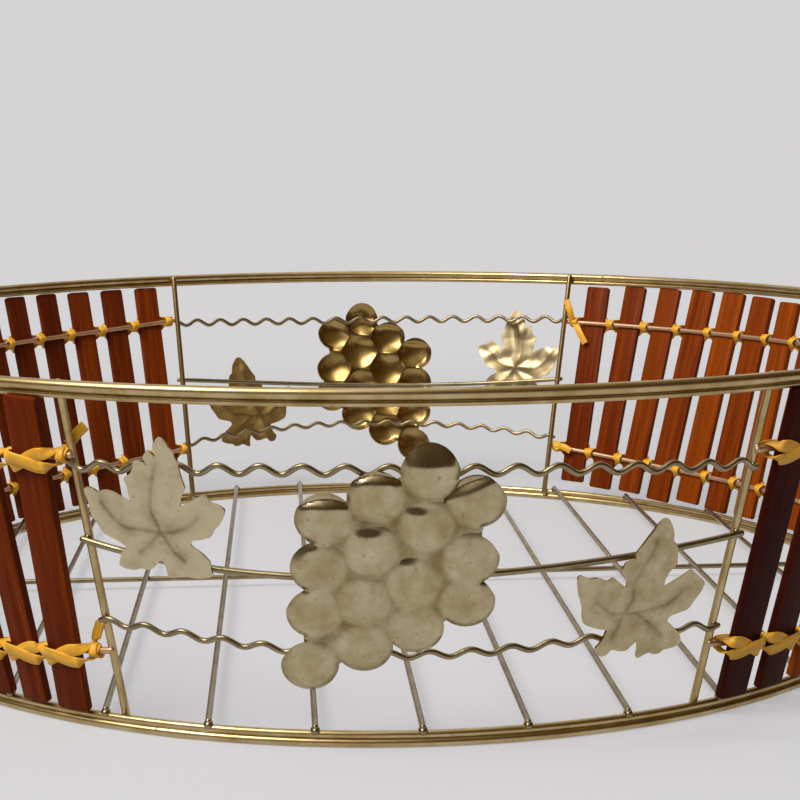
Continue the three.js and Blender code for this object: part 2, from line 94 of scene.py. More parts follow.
# Stamped ornaments, drawn flat as seen from outside
SHEET = 0.6
SHEET_SPACING = 0.55  # between the points of a stamping's mesh
GRAPE_RADIUS = 6.3
GRAPE_BULGE = 1.4  # of each grape above the creases round it
CLUSTER_PAD = 0.5  # height of the creases above the cluster's edge
CLUSTER_ROLL = 1.8  # width of the edge that rolls down
CLUSTER_DENTS = (8, 0.14)  # size and height
DOME_SPREAD = 1.12  # of a dome, in grape radii
DOME_BLEND = 8  # higher for sharper creases
# Painted shade with tarnishing: how dark the creases between grapes are made.
CREASE_SHADE_AND_TARNISH = 0.75
WEB_HALF = 0.3  # half the width of the web between two grapes, in grape radii
GRAPE_CENTRES = [
    (-15.2, 13.7), (-16.4, 1.4), (-17.5, -10.1), (-18.9, -23.9), (-3.5, 18.9), (-4.7, 5.8), (-6.4, -7.3),
    (-6.4, -19.1), (8.4, 25.1), (7.8, 12.0), (4.9, -2.9), (5.3, -14.2), (18.9, 17.9), (17.6, 3.4),
    (16.9, -7.5),
]
GRAPE_NEIGHBOURS = 15.5  # grapes nearer than this are joined by the sheet
TOP_GRAPE = 8
TOP_GRAPE_LOWEST = -2.5
ROLLED_TOPS = (0, 1, 4)  # grapes whose edge rolls down above too
# Grapes whose tops fall away: from how far above the centre, how that grows to the right, and the slope
GRAPE_CAPS = {0: (2.6, 0, 0.75), 4: (3.4, 0, 0.75), 8: (0.9, 0, 0.42), 12: (2.8, 0.5, 0.5)}
GRAPE_DINTS = [(5.4, 14.4, 0.65), (-5.4, 9.0, 0.7), (2.9, 1.8, 0.3)]  # lower edges and depths
DINT_REACH = (4.5, 2.4, 8.5)  # sideways, to the deepest place and to the upper edge
LEAF_STAND = 1.0  # a leaf's least height above its wires, apart from dents
LEAF_CROWN = (0.5, 5)  # height, and how far in from the edge
LEAF_GROOVE = (1.2, 0.1)  # half width and depth
LEAF_FOLD = (0.6, 4)  # height of the lobes above their veins, and how far from them
LEAF_DENTS = (7, 0.1)  # size and height
CORNER_SHARES = (0.82, 0.18)  # of an edge's two ends in the points where its corners are cut
LEAVES = {
    "leaf_a": {
        "outline": [
            (2.5, 23.9), (3.3, 23.7), (4.2, 22.8), (4.6, 21.4), (5.7, 20.2), (5.8, 18.6), (6.5, 17.6),
            (6.7, 15.5), (7.4, 12.1), (7.5, 11.2), (6.0, 9.1), (5.6, 6.6), (7.7, 8.0), (10.3, 9.5),
            (12.2, 10.1), (13.0, 8.3), (15.3, 7.8), (16.6, 6.8), (16.3, 5.5), (14.8, 2.9), (13.4, 1.6),
            (12.3, -0.4), (9.8, -1.2), (7.7, -1.6), (6.9, -2.7), (9.4, -4.4), (11.2, -6.6),
            (11.3, -8.8), (11.7, -10.5), (7.7, -11.2), (4.4, -11.0), (1.0, -11.7), (0.3, -10.9),
            (0.2, -8.7), (-0.3, -7.2), (-1.3, -7.3), (-2.4, -8.9), (-4.2, -9.9), (-6.0, -9.4),
            (-8.0, -10.2), (-10.1, -9.9), (-11.6, -9.1), (-11.2, -7.8), (-10.2, -5.1), (-8.8, -4.4),
            (-11.1, -2.6), (-14.5, -1.1), (-15.2, 1.0), (-16.4, 3.0), (-16.9, 4.7), (-17.2, 7.3),
            (-17.6, 9.8), (-17.1, 10.7), (-15.4, 10.5), (-14.3, 9.3), (-12.6, 10.1), (-10.7, 9.8),
            (-9.6, 9.2), (-8.3, 8.2), (-6.0, 6.9), (-6.5, 8.7), (-6.6, 11.3), (-7.3, 13.5),
            (-5.3, 14.5), (-4.4, 16.6), (-4.4, 17.6), (-3.6, 17.9), (-0.8, 15.9), (-2.1, 18.6),
            (-0.5, 20.9), (1.4, 18.5), (0.9, 22.0),
        ],
        "grooves": [
            [(0, -0.1), (-1.7, 5.7), (-1.4, 9), (-0.4, 13.3), (0.9, 17.1)],
            [(0, -0.1), (-4.4, 0.4), (-8.1, 0.7), (-10.8, 2.6), (-14, 6.7)],
            [(0, -0.1), (3, 0.1), (6.9, 1.7), (9.7, 4.4)],
            [(0, -0.1), (1.4, -2.5), (3.1, -5), (5, -7)],
            [(0, -0.1), (-2.6, -2.6), (-5.6, -5.4)],
        ],
    },
    "leaf_b": {
        "outline": [
            (6.1, 24.1), (7.0, 23.6), (8.6, 20.7), (8.9, 17.6), (10.2, 16.4), (10.5, 13.5),
            (10.8, 11.8), (9.1, 9.9), (8.0, 7.2), (8.3, 5.9), (11.2, 7.6), (14.1, 9.4), (15.1, 10.0),
            (16.5, 8.5), (19.4, 6.2), (18.7, 3.8), (17.2, 1.7), (15.8, -0.8), (13.2, -1.5),
            (11.1, -2.1), (10.3, -3.2), (12.8, -5.5), (14.7, -7.5), (15.3, -9.9), (13.0, -11.0),
            (10.8, -11.2), (9.8, -12.2), (8.2, -12.2), (6.5, -11.4), (4.2, -12.7), (3.5, -12.6),
            (3.6, -10.3), (3.0, -7.8), (1.9, -9.2), (0.7, -10.4), (-1.5, -10.2), (-3.4, -9.5),
            (-4.9, -11.1), (-6.8, -10.9), (-7.9, -8.9), (-6.6, -7.3), (-5.9, -6.0), (-5.7, -4.9),
            (-5.4, -4.0), (-8.4, -3.3), (-11.8, -1.8), (-12.5, 0.0), (-12.6, 2.3), (-14.3, 6.4),
            (-15.1, 10.8), (-14.3, 11.2), (-12.0, 10.1), (-9.7, 10.3), (-7.3, 9.0), (-5.7, 9.9),
            (-3.9, 8.4), (-1.6, 6.4), (-2.0, 8.6), (-3.5, 11.4), (-3.0, 13.5), (-0.5, 14.2),
            (-0.7, 15.9), (0.7, 17.7), (2.1, 20.0), (3.5, 22.2), (5.0, 23.8),
        ],
        "grooves": [
            [(-9, 3.5), (-5, 0.2), (-1.7, -0.2), (0.4, 3.1), (0.5, 7.6), (2, 11.6), (3.4, 14.1), (4.6, 18)],
            [(-1.7, -0.2), (2, -0.4), (5.6, 0.4), (9.6, 0.8), (12, 2.6), (13.6, 4.4)],
            [(2, -0.4), (5.6, -3.4), (9.4, -7)],
            [(-1.7, -0.2), (-2.2, -3.4), (-3.6, -6.6)],
        ],
    },
}

# Slat screens, one at each end, between two uprights that are named by panel and side. Each wire has its
# heights at both ends and its sag. Slats in clear view have their own drops, rises, widths and leans, and
# some have their own tone, where the two front right slats are painted darker as shade. Lacing runs with
# the slats' count or against it, and its last end is tucked or tied.
SLAT_WIDTH = 9.4
SLAT_THICKNESS = 2.2
SLAT_CORNER = 0.9
SLAT_EASE = 0.3  # rounding of a slat's edges
SLAT_SEAT = 0.3  # how deep the wires sink into a slat's back
SCREENS = [
    {
        "name": "right",
        "slats": 25,
        "first": -59.2,
        "last": 57.4,
        "uprights": ((0, 1), (1, 0)),
        "wires": {"upper": (69.9, 69.9, 0.9), "lower": (19.7, 21.2, 5.0)},
        "drops": {0: -0.3, 1: -0.1, 18: 1.4, 19: 0.4, 20: -0.4, 21: -0.4, 22: -0.4, 23: -0.4, 24: 0.5},
        "rises": {0: 0.2, 1: 0.3, 18: 0.4, 19: 0, 20: 1.2, 21: 0, 22: 1.6, 23: 1.8, 24: 3.4},
        "widths": {19: 9.9, 20: 10.0, 21: 9.6, 22: 9.0, 23: 8.8, 24: 9.2},
        "leans": {0: -0.8, 1: -0.3, 19: 1.9, 20: 3.0, 21: 3.7, 22: 3.7, 23: 3.2, 24: 1.6},
        "tone": 0.27,
        # Painted shade: the first two slats, at the front right, get a very dark tone.
        "tones_and_shade": {0: -0.02, 1: -0.02},
        "lacing_runs": -1,
        "tucked": True,
    },
    {
        "name": "left",
        "slats": 26,
        "first": 118.8,
        "last": 238.75,
        "uprights": ((1, 1), (0, 0)),
        "wires": {"upper": (71.3, 70.8, 4.2), "lower": (21.2, 21.2, 5.0)},
        "drops": {0: 0, 1: 0.1, 2: 0.2, 3: 0, 4: 0.1, 24: -0.3, 25: -0.5},
        "rises": {24: 0.5, 25: 0.2},
        "widths": {0: 9.0, 1: 8.7, 2: 8.6, 3: 8.2, 4: 8.3, 24: 7.8, 25: 9.0},
        "leans": {0: 0.4, 1: 0.2, 2: 0.2, 3: 0.7, 4: 0.8, 24: -0.8, 25: -2.4},
        "tone": 0.19,
        "tones_and_shade": {},
        "lacing_runs": 1,
        "tucked": False,
    },
]

# Lacing: a flat strip
LACE_WIDTH = 3.2
LACE_THICKNESS = 0.5

# The photograph's camera
CAMERA_PLACE = (-31.56, -558.78, 141.39)
CAMERA_TURN = (81.786, 0.128, -3.877)  # degrees about X, Y and Z
CAMERA_LENS = 79.93  # on a 36 mm sensor


def node_box(node):
    low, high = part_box(node)
    return np.array(low) / MM, np.array(high) / MM


def hoop_line(node, wire):
    """Radius and height of the centre of a hoop's wire."""
    low, high = node_box(node)
    return high[0] - wire / 2, (low[2] + high[2]) / 2


# The flared wall runs through the centres of the rim and floor hoops.
RIM_RADIUS, RIM_Z = hoop_line("rim_hoop", RIM_WIRE)
FLOOR_RADIUS, FLOOR_Z = hoop_line("floor_hoop", FLOOR_HOOP_WIRE)
FLARE = (RIM_RADIUS - FLOOR_RADIUS) / (RIM_Z - FLOOR_Z)
LEAN = math.atan(FLARE)
UPRIGHT_OUT = -(RIM_WIRE + UPRIGHT_WIRE) / 2 + WELD_SINK
STRAIGHT_OUT = UPRIGHT_OUT + (UPRIGHT_WIRE + STRAIGHT_WIRE) / 2 - WELD_SINK
CRIMPED_OUT = UPRIGHT_OUT + (UPRIGHT_WIRE + CRIMPED_WIRE) / 2 - WELD_SINK
ORNAMENT_OUT = STRAIGHT_OUT + STRAIGHT_WIRE / 2
SLAT_OUT = STRAIGHT_OUT + STRAIGHT_WIRE / 2 - SLAT_SEAT


def unit(vectors):
    return vectors / np.linalg.norm(vectors, axis=-1, keepdims=True)


def wall_radius(heights):
    return FLOOR_RADIUS + FLARE * (heights - FLOOR_Z)


def wall_points(degrees, heights, out):
    """Points on the wall, or `out` millimetres outside it."""
    angles = np.radians(degrees)
    radii = wall_radius(np.asarray(heights, dtype=float)) + out
    return np.stack(np.broadcast_arrays(radii * np.cos(angles), radii * np.sin(angles), heights), axis=-1)


def wall_axes(degrees):
    """Three columns: along the wall, up its flare and outwards."""
    angle = math.radians(degrees)
    along = np.array([-math.sin(angle), math.cos(angle), 0])
    outwards = np.array([math.cos(angle), math.sin(angle), 0]) * math.cos(LEAN)
    outwards[2] = -math.sin(LEAN)
    return np.stack([along, np.cross(outwards, along), outwards], axis=1)


def turned_flat(points, degrees):
    """Points turned in the wall's plane."""
    turn = math.radians(degrees)
    return points @ np.array([
        [math.cos(turn), math.sin(turn), 0],
        [-math.sin(turn), math.cos(turn), 0],
        [0, 0, 1],
    ])


def upright_degrees(panel, side, height):
    foot = panel["feet"][side]
    head = panel["heads"][side]
    return panel["angle"] + foot + (head - foot) * (height - FLOOR_Z) / (RIM_Z - FLOOR_Z)


# Materials


def linear(hex_colour):
    """An sRGB hex colour as linear red, green, blue and alpha."""
    channels = [int(hex_colour[i:i + 2], 16) / 255 for i in (1, 3, 5)]
    return (*[c / 12.92 if c <= 0.04045 else ((c + 0.055) / 1.055) ** 2.4 for c in channels], 1)


def set_inputs(tree, node, **inputs):
    """Inputs are values or other nodes' outputs, by name, or by place as i0, i1 and so on."""
    for name, value in inputs.items():
        key = int(name[1:]) if name[1:].isdigit() else name.replace("_", " ")
        if isinstance(value, bpy.types.NodeSocket):
            tree.links.new(value, node.inputs[key])
        else:
            node.inputs[key].default_value = value


def add_node(tree, kind, settings=(), stops=(), **inputs):
    """Adds a node with its settings, inputs and, on a colour ramp, its stops."""
    node = tree.nodes.new(kind)
    for name, value in dict(settings).items():
        setattr(node, name, value)
    set_inputs(tree, node, **inputs)
    for place, (position, colour) in enumerate(stops):
        elements = node.color_ramp.elements
        element = elements[place] if place < 2 else elements.new(position)
        element.position = position
        element.color = linear(colour)
    return node


def per_mm(size):
    """Texture scale for features of this size in millimetres, where coordinates are metres."""
    return 1 / (size * MM)


def start_material(name):
    material = bpy.data.materials.new(name)
    material.use_nodes = True
    tree = material.node_tree
    return material, tree, tree.nodes["Principled BSDF"]


def drawn_brass_wire(name, skins, roughness):
    """Brass-plated drawn wire: the skin has gone brown in small patches and is a little pitted."""
    material, tree, shader = start_material(name)
    place = add_node(tree, "ShaderNodeTexCoord").outputs["Object"]
    patches = add_node(tree, "ShaderNodeTexNoise", Vector=place, Scale=per_mm(9), Detail=4.0, Roughness=0.6)
    skin = add_node(
        tree, "ShaderNodeValToRGB", stops=list(zip((0.3, 0.52, 0.75), skins)), Fac=patches.outputs[0],
    )
    spots = add_node(tree, "ShaderNodeTexNoise", Vector=place, Scale=per_mm(2.2), Detail=3.0, Roughness=0.7)
    brown = add_node(
        tree, "ShaderNodeValToRGB", stops=[(0.62, "#000000"), (0.74, "#B0B0B0")], Fac=spots.outputs[0],
    )
    colour = add_node(
        tree, "ShaderNodeMix", {"data_type": "RGBA"}, i0=brown.outputs[0], i6=skin.outputs[0],
        i7=linear("#7A5E30"),
    )
    gloss = add_node(
        tree, "ShaderNodeMapRange", i0=patches.outputs[0], i1=0.3, i2=0.75, i3=roughness + 0.1,
        i4=roughness,
    )
    pits = add_node(tree, "ShaderNodeTexNoise", Vector=place, Scale=per_mm(0.5), Detail=2.0)
    bump = add_node(tree, "ShaderNodeBump", Strength=0.15, Distance=0.05 * MM, Height=pits.outputs[0])
    set_inputs(
        tree, shader, Base_Color=colour.outputs[2], Roughness=gloss.outputs[0], Normal=bump.outputs[0],
        Metallic=1.0,
    )
    return material


def stamped_brass_sheet():
    """Stamped brass-plated sheet: mottled and worn, with dark specks, darker creases from tarnishing and
    painted shade, a more golden inside that is partly painted warm reflection, and painted pale reflection
    on some leaves.
    """
    material, tree, shader = start_material("stamped_brass_sheet")
    place = add_node(tree, "ShaderNodeTexCoord").outputs["Object"]
    cloud = add_node(tree, "ShaderNodeTexNoise", Vector=place, Scale=per_mm(6), Detail=5.0, Roughness=0.6)
    # Painted pale reflection: some leaves are made paler to stand in for the bright reflections they show.
    pale_reflection = add_node(tree, "ShaderNodeAttribute", {"attribute_name": "pale_reflection"}).outputs["Fac"]
    paler = add_node(tree, "ShaderNodeMath", {"operation": "ADD"}, i0=cloud.outputs[0], i1=pale_reflection)
    worn = add_node(
        tree, "ShaderNodeValToRGB", stops=[(0.3, "#A29068"), (0.5, "#B5A580"), (0.72, "#C8BA98")],
        Fac=paler.outputs[0],
    )
    # The inner side is mixed towards gold: partly the plating's own colour, partly a painted warm
    # reflection.
    inner = add_node(tree, "ShaderNodeAttribute", {"attribute_name": "inner"}).outputs["Fac"]
    skin = add_node(
        tree, "ShaderNodeMix", {"data_type": "RGBA"}, i0=inner, i6=worn.outputs[0], i7=linear("#B39350"),
    )
    specks = add_node(tree, "ShaderNodeTexNoise", Vector=place, Scale=per_mm(1.1), Detail=2.0)
    dark = add_node(
        tree, "ShaderNodeValToRGB", stops=[(0.66, "#000000"), (0.75, "#C0C0C0")], Fac=specks.outputs[0],
    )
    # Painted shade with tarnishing: creases and leaf veins are darkened, unevenly, towards the same dark
    # colour as the specks.
    creases = add_node(tree, "ShaderNodeAttribute", {"attribute_name": "shade_and_tarnish"}).outputs["Fac"]
    uneven = add_node(tree, "ShaderNodeMapRange", i0=cloud.outputs[0], i1=0.35, i2=0.6, i3=0.85, i4=0.4)
    stain = add_node(tree, "ShaderNodeMath", {"operation": "MULTIPLY"}, i0=creases, i1=uneven.outputs[0])
    worst = add_node(
        tree, "ShaderNodeMath", {"operation": "MAXIMUM"}, i0=dark.outputs[0], i1=stain.outputs[0],
    )
    colour = add_node(
        tree, "ShaderNodeMix", {"data_type": "RGBA"}, i0=worst.outputs[0], i6=skin.outputs[2],
        i7=linear("#6E5A33"),
    )
    gloss = add_node(tree, "ShaderNodeMapRange", i0=cloud.outputs[0], i1=0.3, i2=0.75, i3=0.31, i4=0.21)
    satin = add_node(tree, "ShaderNodeAttribute", {"attribute_name": "satin"}).outputs["Fac"]
    rougher = add_node(tree, "ShaderNodeMath", {"operation": "ADD"}, i0=gloss.outputs[0], i1=satin)
    grit = add_node(tree, "ShaderNodeTexNoise", Vector=place, Scale=per_mm(0.8), Detail=3.0)
    bump = add_node(tree, "ShaderNodeBump", Strength=0.2, Distance=0.05 * MM, Height=grit.outputs[0])
    set_inputs(
        tree, shader, Base_Color=colour.outputs[2], Roughness=rougher.outputs[0], Normal=bump.outputs[0],
        Metallic=1.0,
    )
    return material


def stained_slat_wood():
    """Split wood in red-brown stain and satin varnish: streaks along the grain, each slat in its tone."""
    # slat_place is in millimetres: streaks are about 2.2 mm wide and fibres about 0.3 mm
    material, tree, shader = start_material("stained_slat_wood")
    place = add_node(tree, "ShaderNodeAttribute", {"attribute_name": "slat_place"}).outputs["Vector"]
    # Each slat's tone, painted darker as shade on the two front right slats.
    tone = add_node(tree, "ShaderNodeAttribute", {"attribute_name": "slat_tone_and_shade"}).outputs["Fac"]
    along = add_node(tree, "ShaderNodeMapping", Vector=place, Scale=(1, 0.04, 1))
    streaks = add_node(
        tree, "ShaderNodeTexNoise", Vector=along.outputs[0], Scale=0.45, Detail=4.0, Roughness=0.5,
    )
    shifted = add_node(
        tree, "ShaderNodeMath", {"operation": "MULTIPLY_ADD"}, i0=streaks.outputs[0], i1=0.45, i2=tone,
    )
    stain = add_node(
        tree, "ShaderNodeValToRGB",
        stops=[(0.2, "#3C0E05"), (0.42, "#6E2907"), (0.56, "#914007"), (0.75, "#AC5A0A")],
        Fac=shifted.outputs[0],
    )
    fibre_place = add_node(tree, "ShaderNodeMapping", Vector=place, Scale=(1, 0.02, 1))
    fibres = add_node(
        tree, "ShaderNodeTexNoise", Vector=fibre_place.outputs[0], Scale=3.0, Detail=3.0, Roughness=0.7,
    )
    lines = add_node(
        tree, "ShaderNodeValToRGB", stops=[(0.3, "#A8A8A8"), (0.55, "#FFFFFF")], Fac=fibres.outputs[0],
    )
    colour = add_node(
        tree, "ShaderNodeMix", {"data_type": "RGBA", "blend_type": "MULTIPLY"}, i0=0.6, i6=stain.outputs[0],
        i7=lines.outputs[0],
    )
    bump = add_node(tree, "ShaderNodeBump", Strength=0.3, Distance=0.08 * MM, Height=fibres.outputs[0])
    set_inputs(
        tree, shader, Base_Color=colour.outputs[2], Normal=bump.outputs[0], Roughness=0.5, IOR=1.5,
        Specular_IOR_Level=0.06,
    )
    return material


def flat_yellow_lace():
    """Flat golden plastic lace: satin, softly clouded, with faint lengthwise ribs."""
    # lace_place is in millimetres: clouds are about 0.8 mm wide and ribs about 0.2 mm
    material, tree, shader = start_material("flat_yellow_lace")
    place = add_node(tree, "ShaderNodeAttribute", {"attribute_name": "lace_place"}).outputs["Vector"]
    along = add_node(tree, "ShaderNodeMapping", Vector=place, Scale=(1, 0.06, 1))
    cloud = add_node(tree, "ShaderNodeTexNoise", Vector=along.outputs[0], Scale=1.2, Detail=3.0)
    colour = add_node(
        tree, "ShaderNodeValToRGB", stops=[(0.3, "#DE9C1A"), (0.55, "#F0B026"), (0.75, "#F4C044")],
        Fac=cloud.outputs[0],
    )
    ribs = add_node(tree, "ShaderNodeTexNoise", Vector=along.outputs[0], Scale=5.0, Detail=1.0)
    bump = add_node(tree, "ShaderNodeBump", Strength=0.3, Distance=0.06 * MM, Height=ribs.outputs[0])
    set_inputs(tree, shader, Base_Color=colour.outputs[0], Normal=bump.outputs[0], Roughness=0.45, IOR=1.5)
    return material


# The hoops and uprights keep a bright skin, the thinner wires between them have a duller, greyer one, and
# on the slat wires the plating is worn to a coppery satin, whose colour also paints in the reflection of
# the red-brown slats.
BRIGHT_BRASS = drawn_brass_wire("bright_drawn_brass_wire", ("#A8905C", "#BFA878", "#CDBB92"), 0.27)
DULL_BRASS = drawn_brass_wire("dull_drawn_brass_wire", ("#83765A", "#998A6B", "#AA9C80"), 0.26)
SLAT_REFLECTING_BRASS = drawn_brass_wire("coppery_wire_with_painted_slat_reflection", ("#BE9A76", "#CEA985", "#DAB997"), 0.42)
SHEET_BRASS = stamped_brass_sheet()
SLAT_WOOD = stained_slat_wood()
LACE = flat_yellow_lace()


# Mesh building: a shape is its points, an array, and its faces, lists of point numbers.


def joined(shapes):
    points = []
    faces = []
    count = 0
    for shape_points, shape_faces in shapes:
        points.append(shape_points)
        faces += [[count + k for k in face] for face in shape_faces]
        count += len(shape_points)
    return np.concatenate(points), faces


def mesh_object(name, points, faces, material):
    mesh = bpy.data.meshes.new(name)
    mesh.from_pydata(points, [], faces)
    mesh.materials.append(material)
    item = bpy.data.objects.new(name, mesh)
    bpy.context.scene.collection.objects.link(item)
    return item


def add_piece(name, shape, finish, node=None, sharp=None):
    """Makes a piece of the basket. Edges bent by more than `sharp` degrees stay crisp."""
    points, faces = shape
    piece = mesh_object(name, (points * MM).tolist(), faces, finish)
    piece.data.polygons.foreach_set("use_smooth", [True] * len(faces))
    if sharp:
        piece.data.set_sharp_from_angle(angle=math.radians(sharp))
    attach(piece, "root")
    if node:
        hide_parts(node)
    return piece


def store(piece, name, values):
    """Keeps a value or a vector for each point of a piece, which its material reads."""
    kind, field = ("FLOAT", "value") if values.ndim == 1 else ("FLOAT_VECTOR", "vector")
    attribute = piece.data.attributes.new(name, kind, "POINT")
    attribute.data.foreach_set(field, values.ravel())


def add_wire_piece(node, shapes, finish):
    return add_piece(f"{node}_brass", joined(shapes), finish, node)


def skin_faces(rings, sides, closed):
    """Faces over a row of rings, with caps unless the row is closed."""
    faces = []
    for ring in range(rings if closed else rings - 1):
        after = (ring + 1) % rings
        for k in range(sides):
            turn = (k + 1) % sides
            faces.append([ring * sides + k, ring * sides + turn, after * sides + turn, after * sides + k])
    if not closed:
        faces.append(list(range(sides))[::-1])
        faces.append([(rings - 1) * sides + k for k in range(sides)])
    return faces


def swept(path, radii, closed=False, sides=14):
    """A round section carried along a path without twisting."""
    if closed:
        forwards = unit(np.roll(path, -1, axis=0) - np.roll(path, 1, axis=0))
    else:
        forwards = unit(np.gradient(path, axis=0))
    helper = np.array([0.0, 0.0, 1.0]) if abs(forwards[0][2]) < 0.9 else np.array([1.0, 0.0, 0.0])
    normals = []
    normal = helper
    for forward in forwards:
        normal = normal - forward * normal.dot(forward)
        normal = normal / np.linalg.norm(normal)
        normals.append(normal)
    normals = np.array(normals)
    sideways = np.cross(forwards, normals)
    turns = np.linspace(0, 2 * np.pi, sides, endpoint=False)
    ring = (
        np.cos(turns)[None, :, None] * normals[:, None]
        + np.sin(turns)[None, :, None] * sideways[:, None]
    )
    points = path[:, None] + np.asarray(radii)[:, None, None] * ring
    return points.reshape(-1, 3), skin_faces(len(path), sides, closed)


def wire_run(path, wire, sides=14):
    """An open length of wire with rounded ends."""
    path = np.asarray(path, dtype=float)
    half = wire / 2
    rounding = np.radians([80, 60, 35, 15])
    start = unit(path[0] - path[1])
    finish = unit(path[-1] - path[-2])
    before = [path[0] + start * half * math.sin(t) for t in rounding]
    after = [path[-1] + finish * half * math.sin(t) for t in rounding[::-1]]
    ends = half * np.cos(rounding)
    radii = np.concatenate([ends, np.full(len(path), half), ends[::-1]])
    return swept(np.concatenate([before, path, after]), radii, sides=sides)


def bead(centre, axis, length, width):
    """A small weld lump, longer along its axis."""
    turns = np.radians([8, 30, 55, 75, 90, 105, 125, 150, 172])
    path = np.asarray(centre) - np.cos(turns)[:, None] * unit(np.asarray(axis, dtype=float)) * length / 2
    return swept(path, np.sin(turns) * width / 2, sides=12)


# Hoops, with their butt joints
HOOP_STEPS = 384
HOOP_SIDES = 20
JOINT_LENGTH = 8.5
JOINT_SWELL = 0.16  # added to the wire's diameter


def hoop_path(radius, z, from_degrees=0.0, to_degrees=360.0, steps=HOOP_STEPS, closed=True):
    angles = np.radians(np.linspace(from_degrees, to_degrees, steps, endpoint=not closed))
    return np.stack([radius * np.cos(angles), radius * np.sin(angles), np.full(steps, z)], axis=-1)


def add_hoop(node, wire, radius, z, joints):
    """A hoop, a little swollen where its wire is joined, at these degrees."""
    shapes = [swept(hoop_path(radius, z), np.full(HOOP_STEPS, wire / 2), closed=True, sides=HOOP_SIDES)]
    for degrees in joints:
        reach = math.degrees(JOINT_LENGTH / radius) / 2
        path = hoop_path(radius, z, degrees - reach, degrees + reach, 9, closed=False)
        shapes.append(wire_run(path, wire + JOINT_SWELL, sides=HOOP_SIDES))
    add_wire_piece(node, shapes, BRIGHT_BRASS)


LOWER_RIM_Z = RIM_Z - (RIM_WIRE + LOWER_RIM_WIRE) / 2 + WELD_SINK
add_hoop("rim_hoop", RIM_WIRE, RIM_RADIUS, RIM_Z, [55.0])
add_hoop("lower_rim_hoop", LOWER_RIM_WIRE, wall_radius(LOWER_RIM_Z), LOWER_RIM_Z, [132.3])
add_hoop("floor_hoop", FLOOR_HOOP_WIRE, FLOOR_RADIUS, FLOOR_Z, [203.0])
add_hoop("base_hoop", BASE_WIRE, FLOOR_RADIUS, BASE_WIRE / 2, [-112.0])


# Floor wires rest on the floor hoop, over one lengthwise wire.
FLOOR_WIRES = 11
FLOOR_WELD = (3.4, 2.4)  # length and width of the lump where a floor wire meets its hoop
CROSSING_WELD = (2.6, 1.7)  # and where it meets the lengthwise wire
LENGTHWISE_OVERHANG = 0.5
FLOOR_WIRE_Z = FLOOR_Z + (FLOOR_HOOP_WIRE + FLOOR_WIRE) / 2 - WELD_SINK
LENGTHWISE_Z = FLOOR_WIRE_Z - FLOOR_WIRE + WELD_SINK
floor_wire_places = []
for number in range(1, FLOOR_WIRES + 1):
    node = f"floor_wire_{number}"
    low, high = node_box(node)
    x = (low[0] + high[0]) / 2
    floor_wire_places.append(x)
    ends = np.array([[x, low[1], FLOOR_WIRE_Z], [x, high[1], FLOOR_WIRE_Z]])
    shapes = [wire_run(np.linspace(*ends, 5), FLOOR_WIRE)]
    for end in ends:
        shapes.append(bead(end - [0, 0, FLOOR_WIRE / 2], (0, 1, 0), *FLOOR_WELD))
    add_wire_piece(node, shapes, DULL_BRASS)

low, high = node_box("floor_lengthwise_wire")
lengthwise_ends = np.array([
    [low[0] - LENGTHWISE_OVERHANG, low[1] + FLOOR_WIRE / 2, LENGTHWISE_Z],
    [high[0] + LENGTHWISE_OVERHANG, high[1] - FLOOR_WIRE / 2, LENGTHWISE_Z],
])
lengthwise = [wire_run(np.linspace(*lengthwise_ends, 5), FLOOR_WIRE)]
for x in floor_wire_places:
    y = np.interp(x, lengthwise_ends[:, 0], lengthwise_ends[:, 1])
    lengthwise.append(bead([x, y, (FLOOR_WIRE_Z + LENGTHWISE_Z) / 2], (0, 1, 0), *CROSSING_WELD))
add_wire_piece("floor_lengthwise_wire", lengthwise, DULL_BRASS)


# Uprights and panel wires
WIRE_STEPS = 260
SPOT_WELD = (2.4, 1.6)  # length and width of the lump
UPRIGHT_FOOT_BELOW = 0.4  # the floor hoop's centre
UPRIGHT_FOOT_OUT = 0.5  # how much further out than the head's line the foot is set
UPRIGHT_HEAD_ABOVE = 0.3  # the rim hoop's centre


def weld(degrees, height, out):
    """The lump where a wire is spot-welded to an upright."""
    return bead(wall_points(degrees, height, out), wall_axes(degrees)[:, 1], *SPOT_WELD)


def panel_wire(panel, level, out, wire):
    """A wire bent round the wall through its five heights, with a small wave if it is crimped."""
    line = panel[level]
    heights = line["heights"]
    ends = [upright_degrees(panel, 0, heights[0]), upright_degrees(panel, 1, heights[-1])]
    across = np.linspace(-1, 1, WIRE_STEPS + 1)
    degrees = np.linspace(ends[0] - PANEL_WIRE_OVERHANG, ends[1] + PANEL_WIRE_OVERHANG, WIRE_STEPS + 1)
    smooth = np.polyfit(np.linspace(-1, 1, len(heights)), heights, len(heights) - 1)
    levels = np.polyval(smooth, across)
    if "crimp" in line:
        along = np.radians(degrees - panel["angle"]) * wall_radius(heights[2]) - line["crest"]
        levels = levels + line["crimp"] / 2 * np.cos(2 * np.pi * along / CRIMP_PITCH)
    shapes = [wire_run(wall_points(degrees, levels, out), wire)]
    for end, height in zip(ends, (levels[0], levels[-1])):
        shapes.append(weld(end, height, UPRIGHT_OUT + UPRIGHT_WIRE / 2))
    return shapes


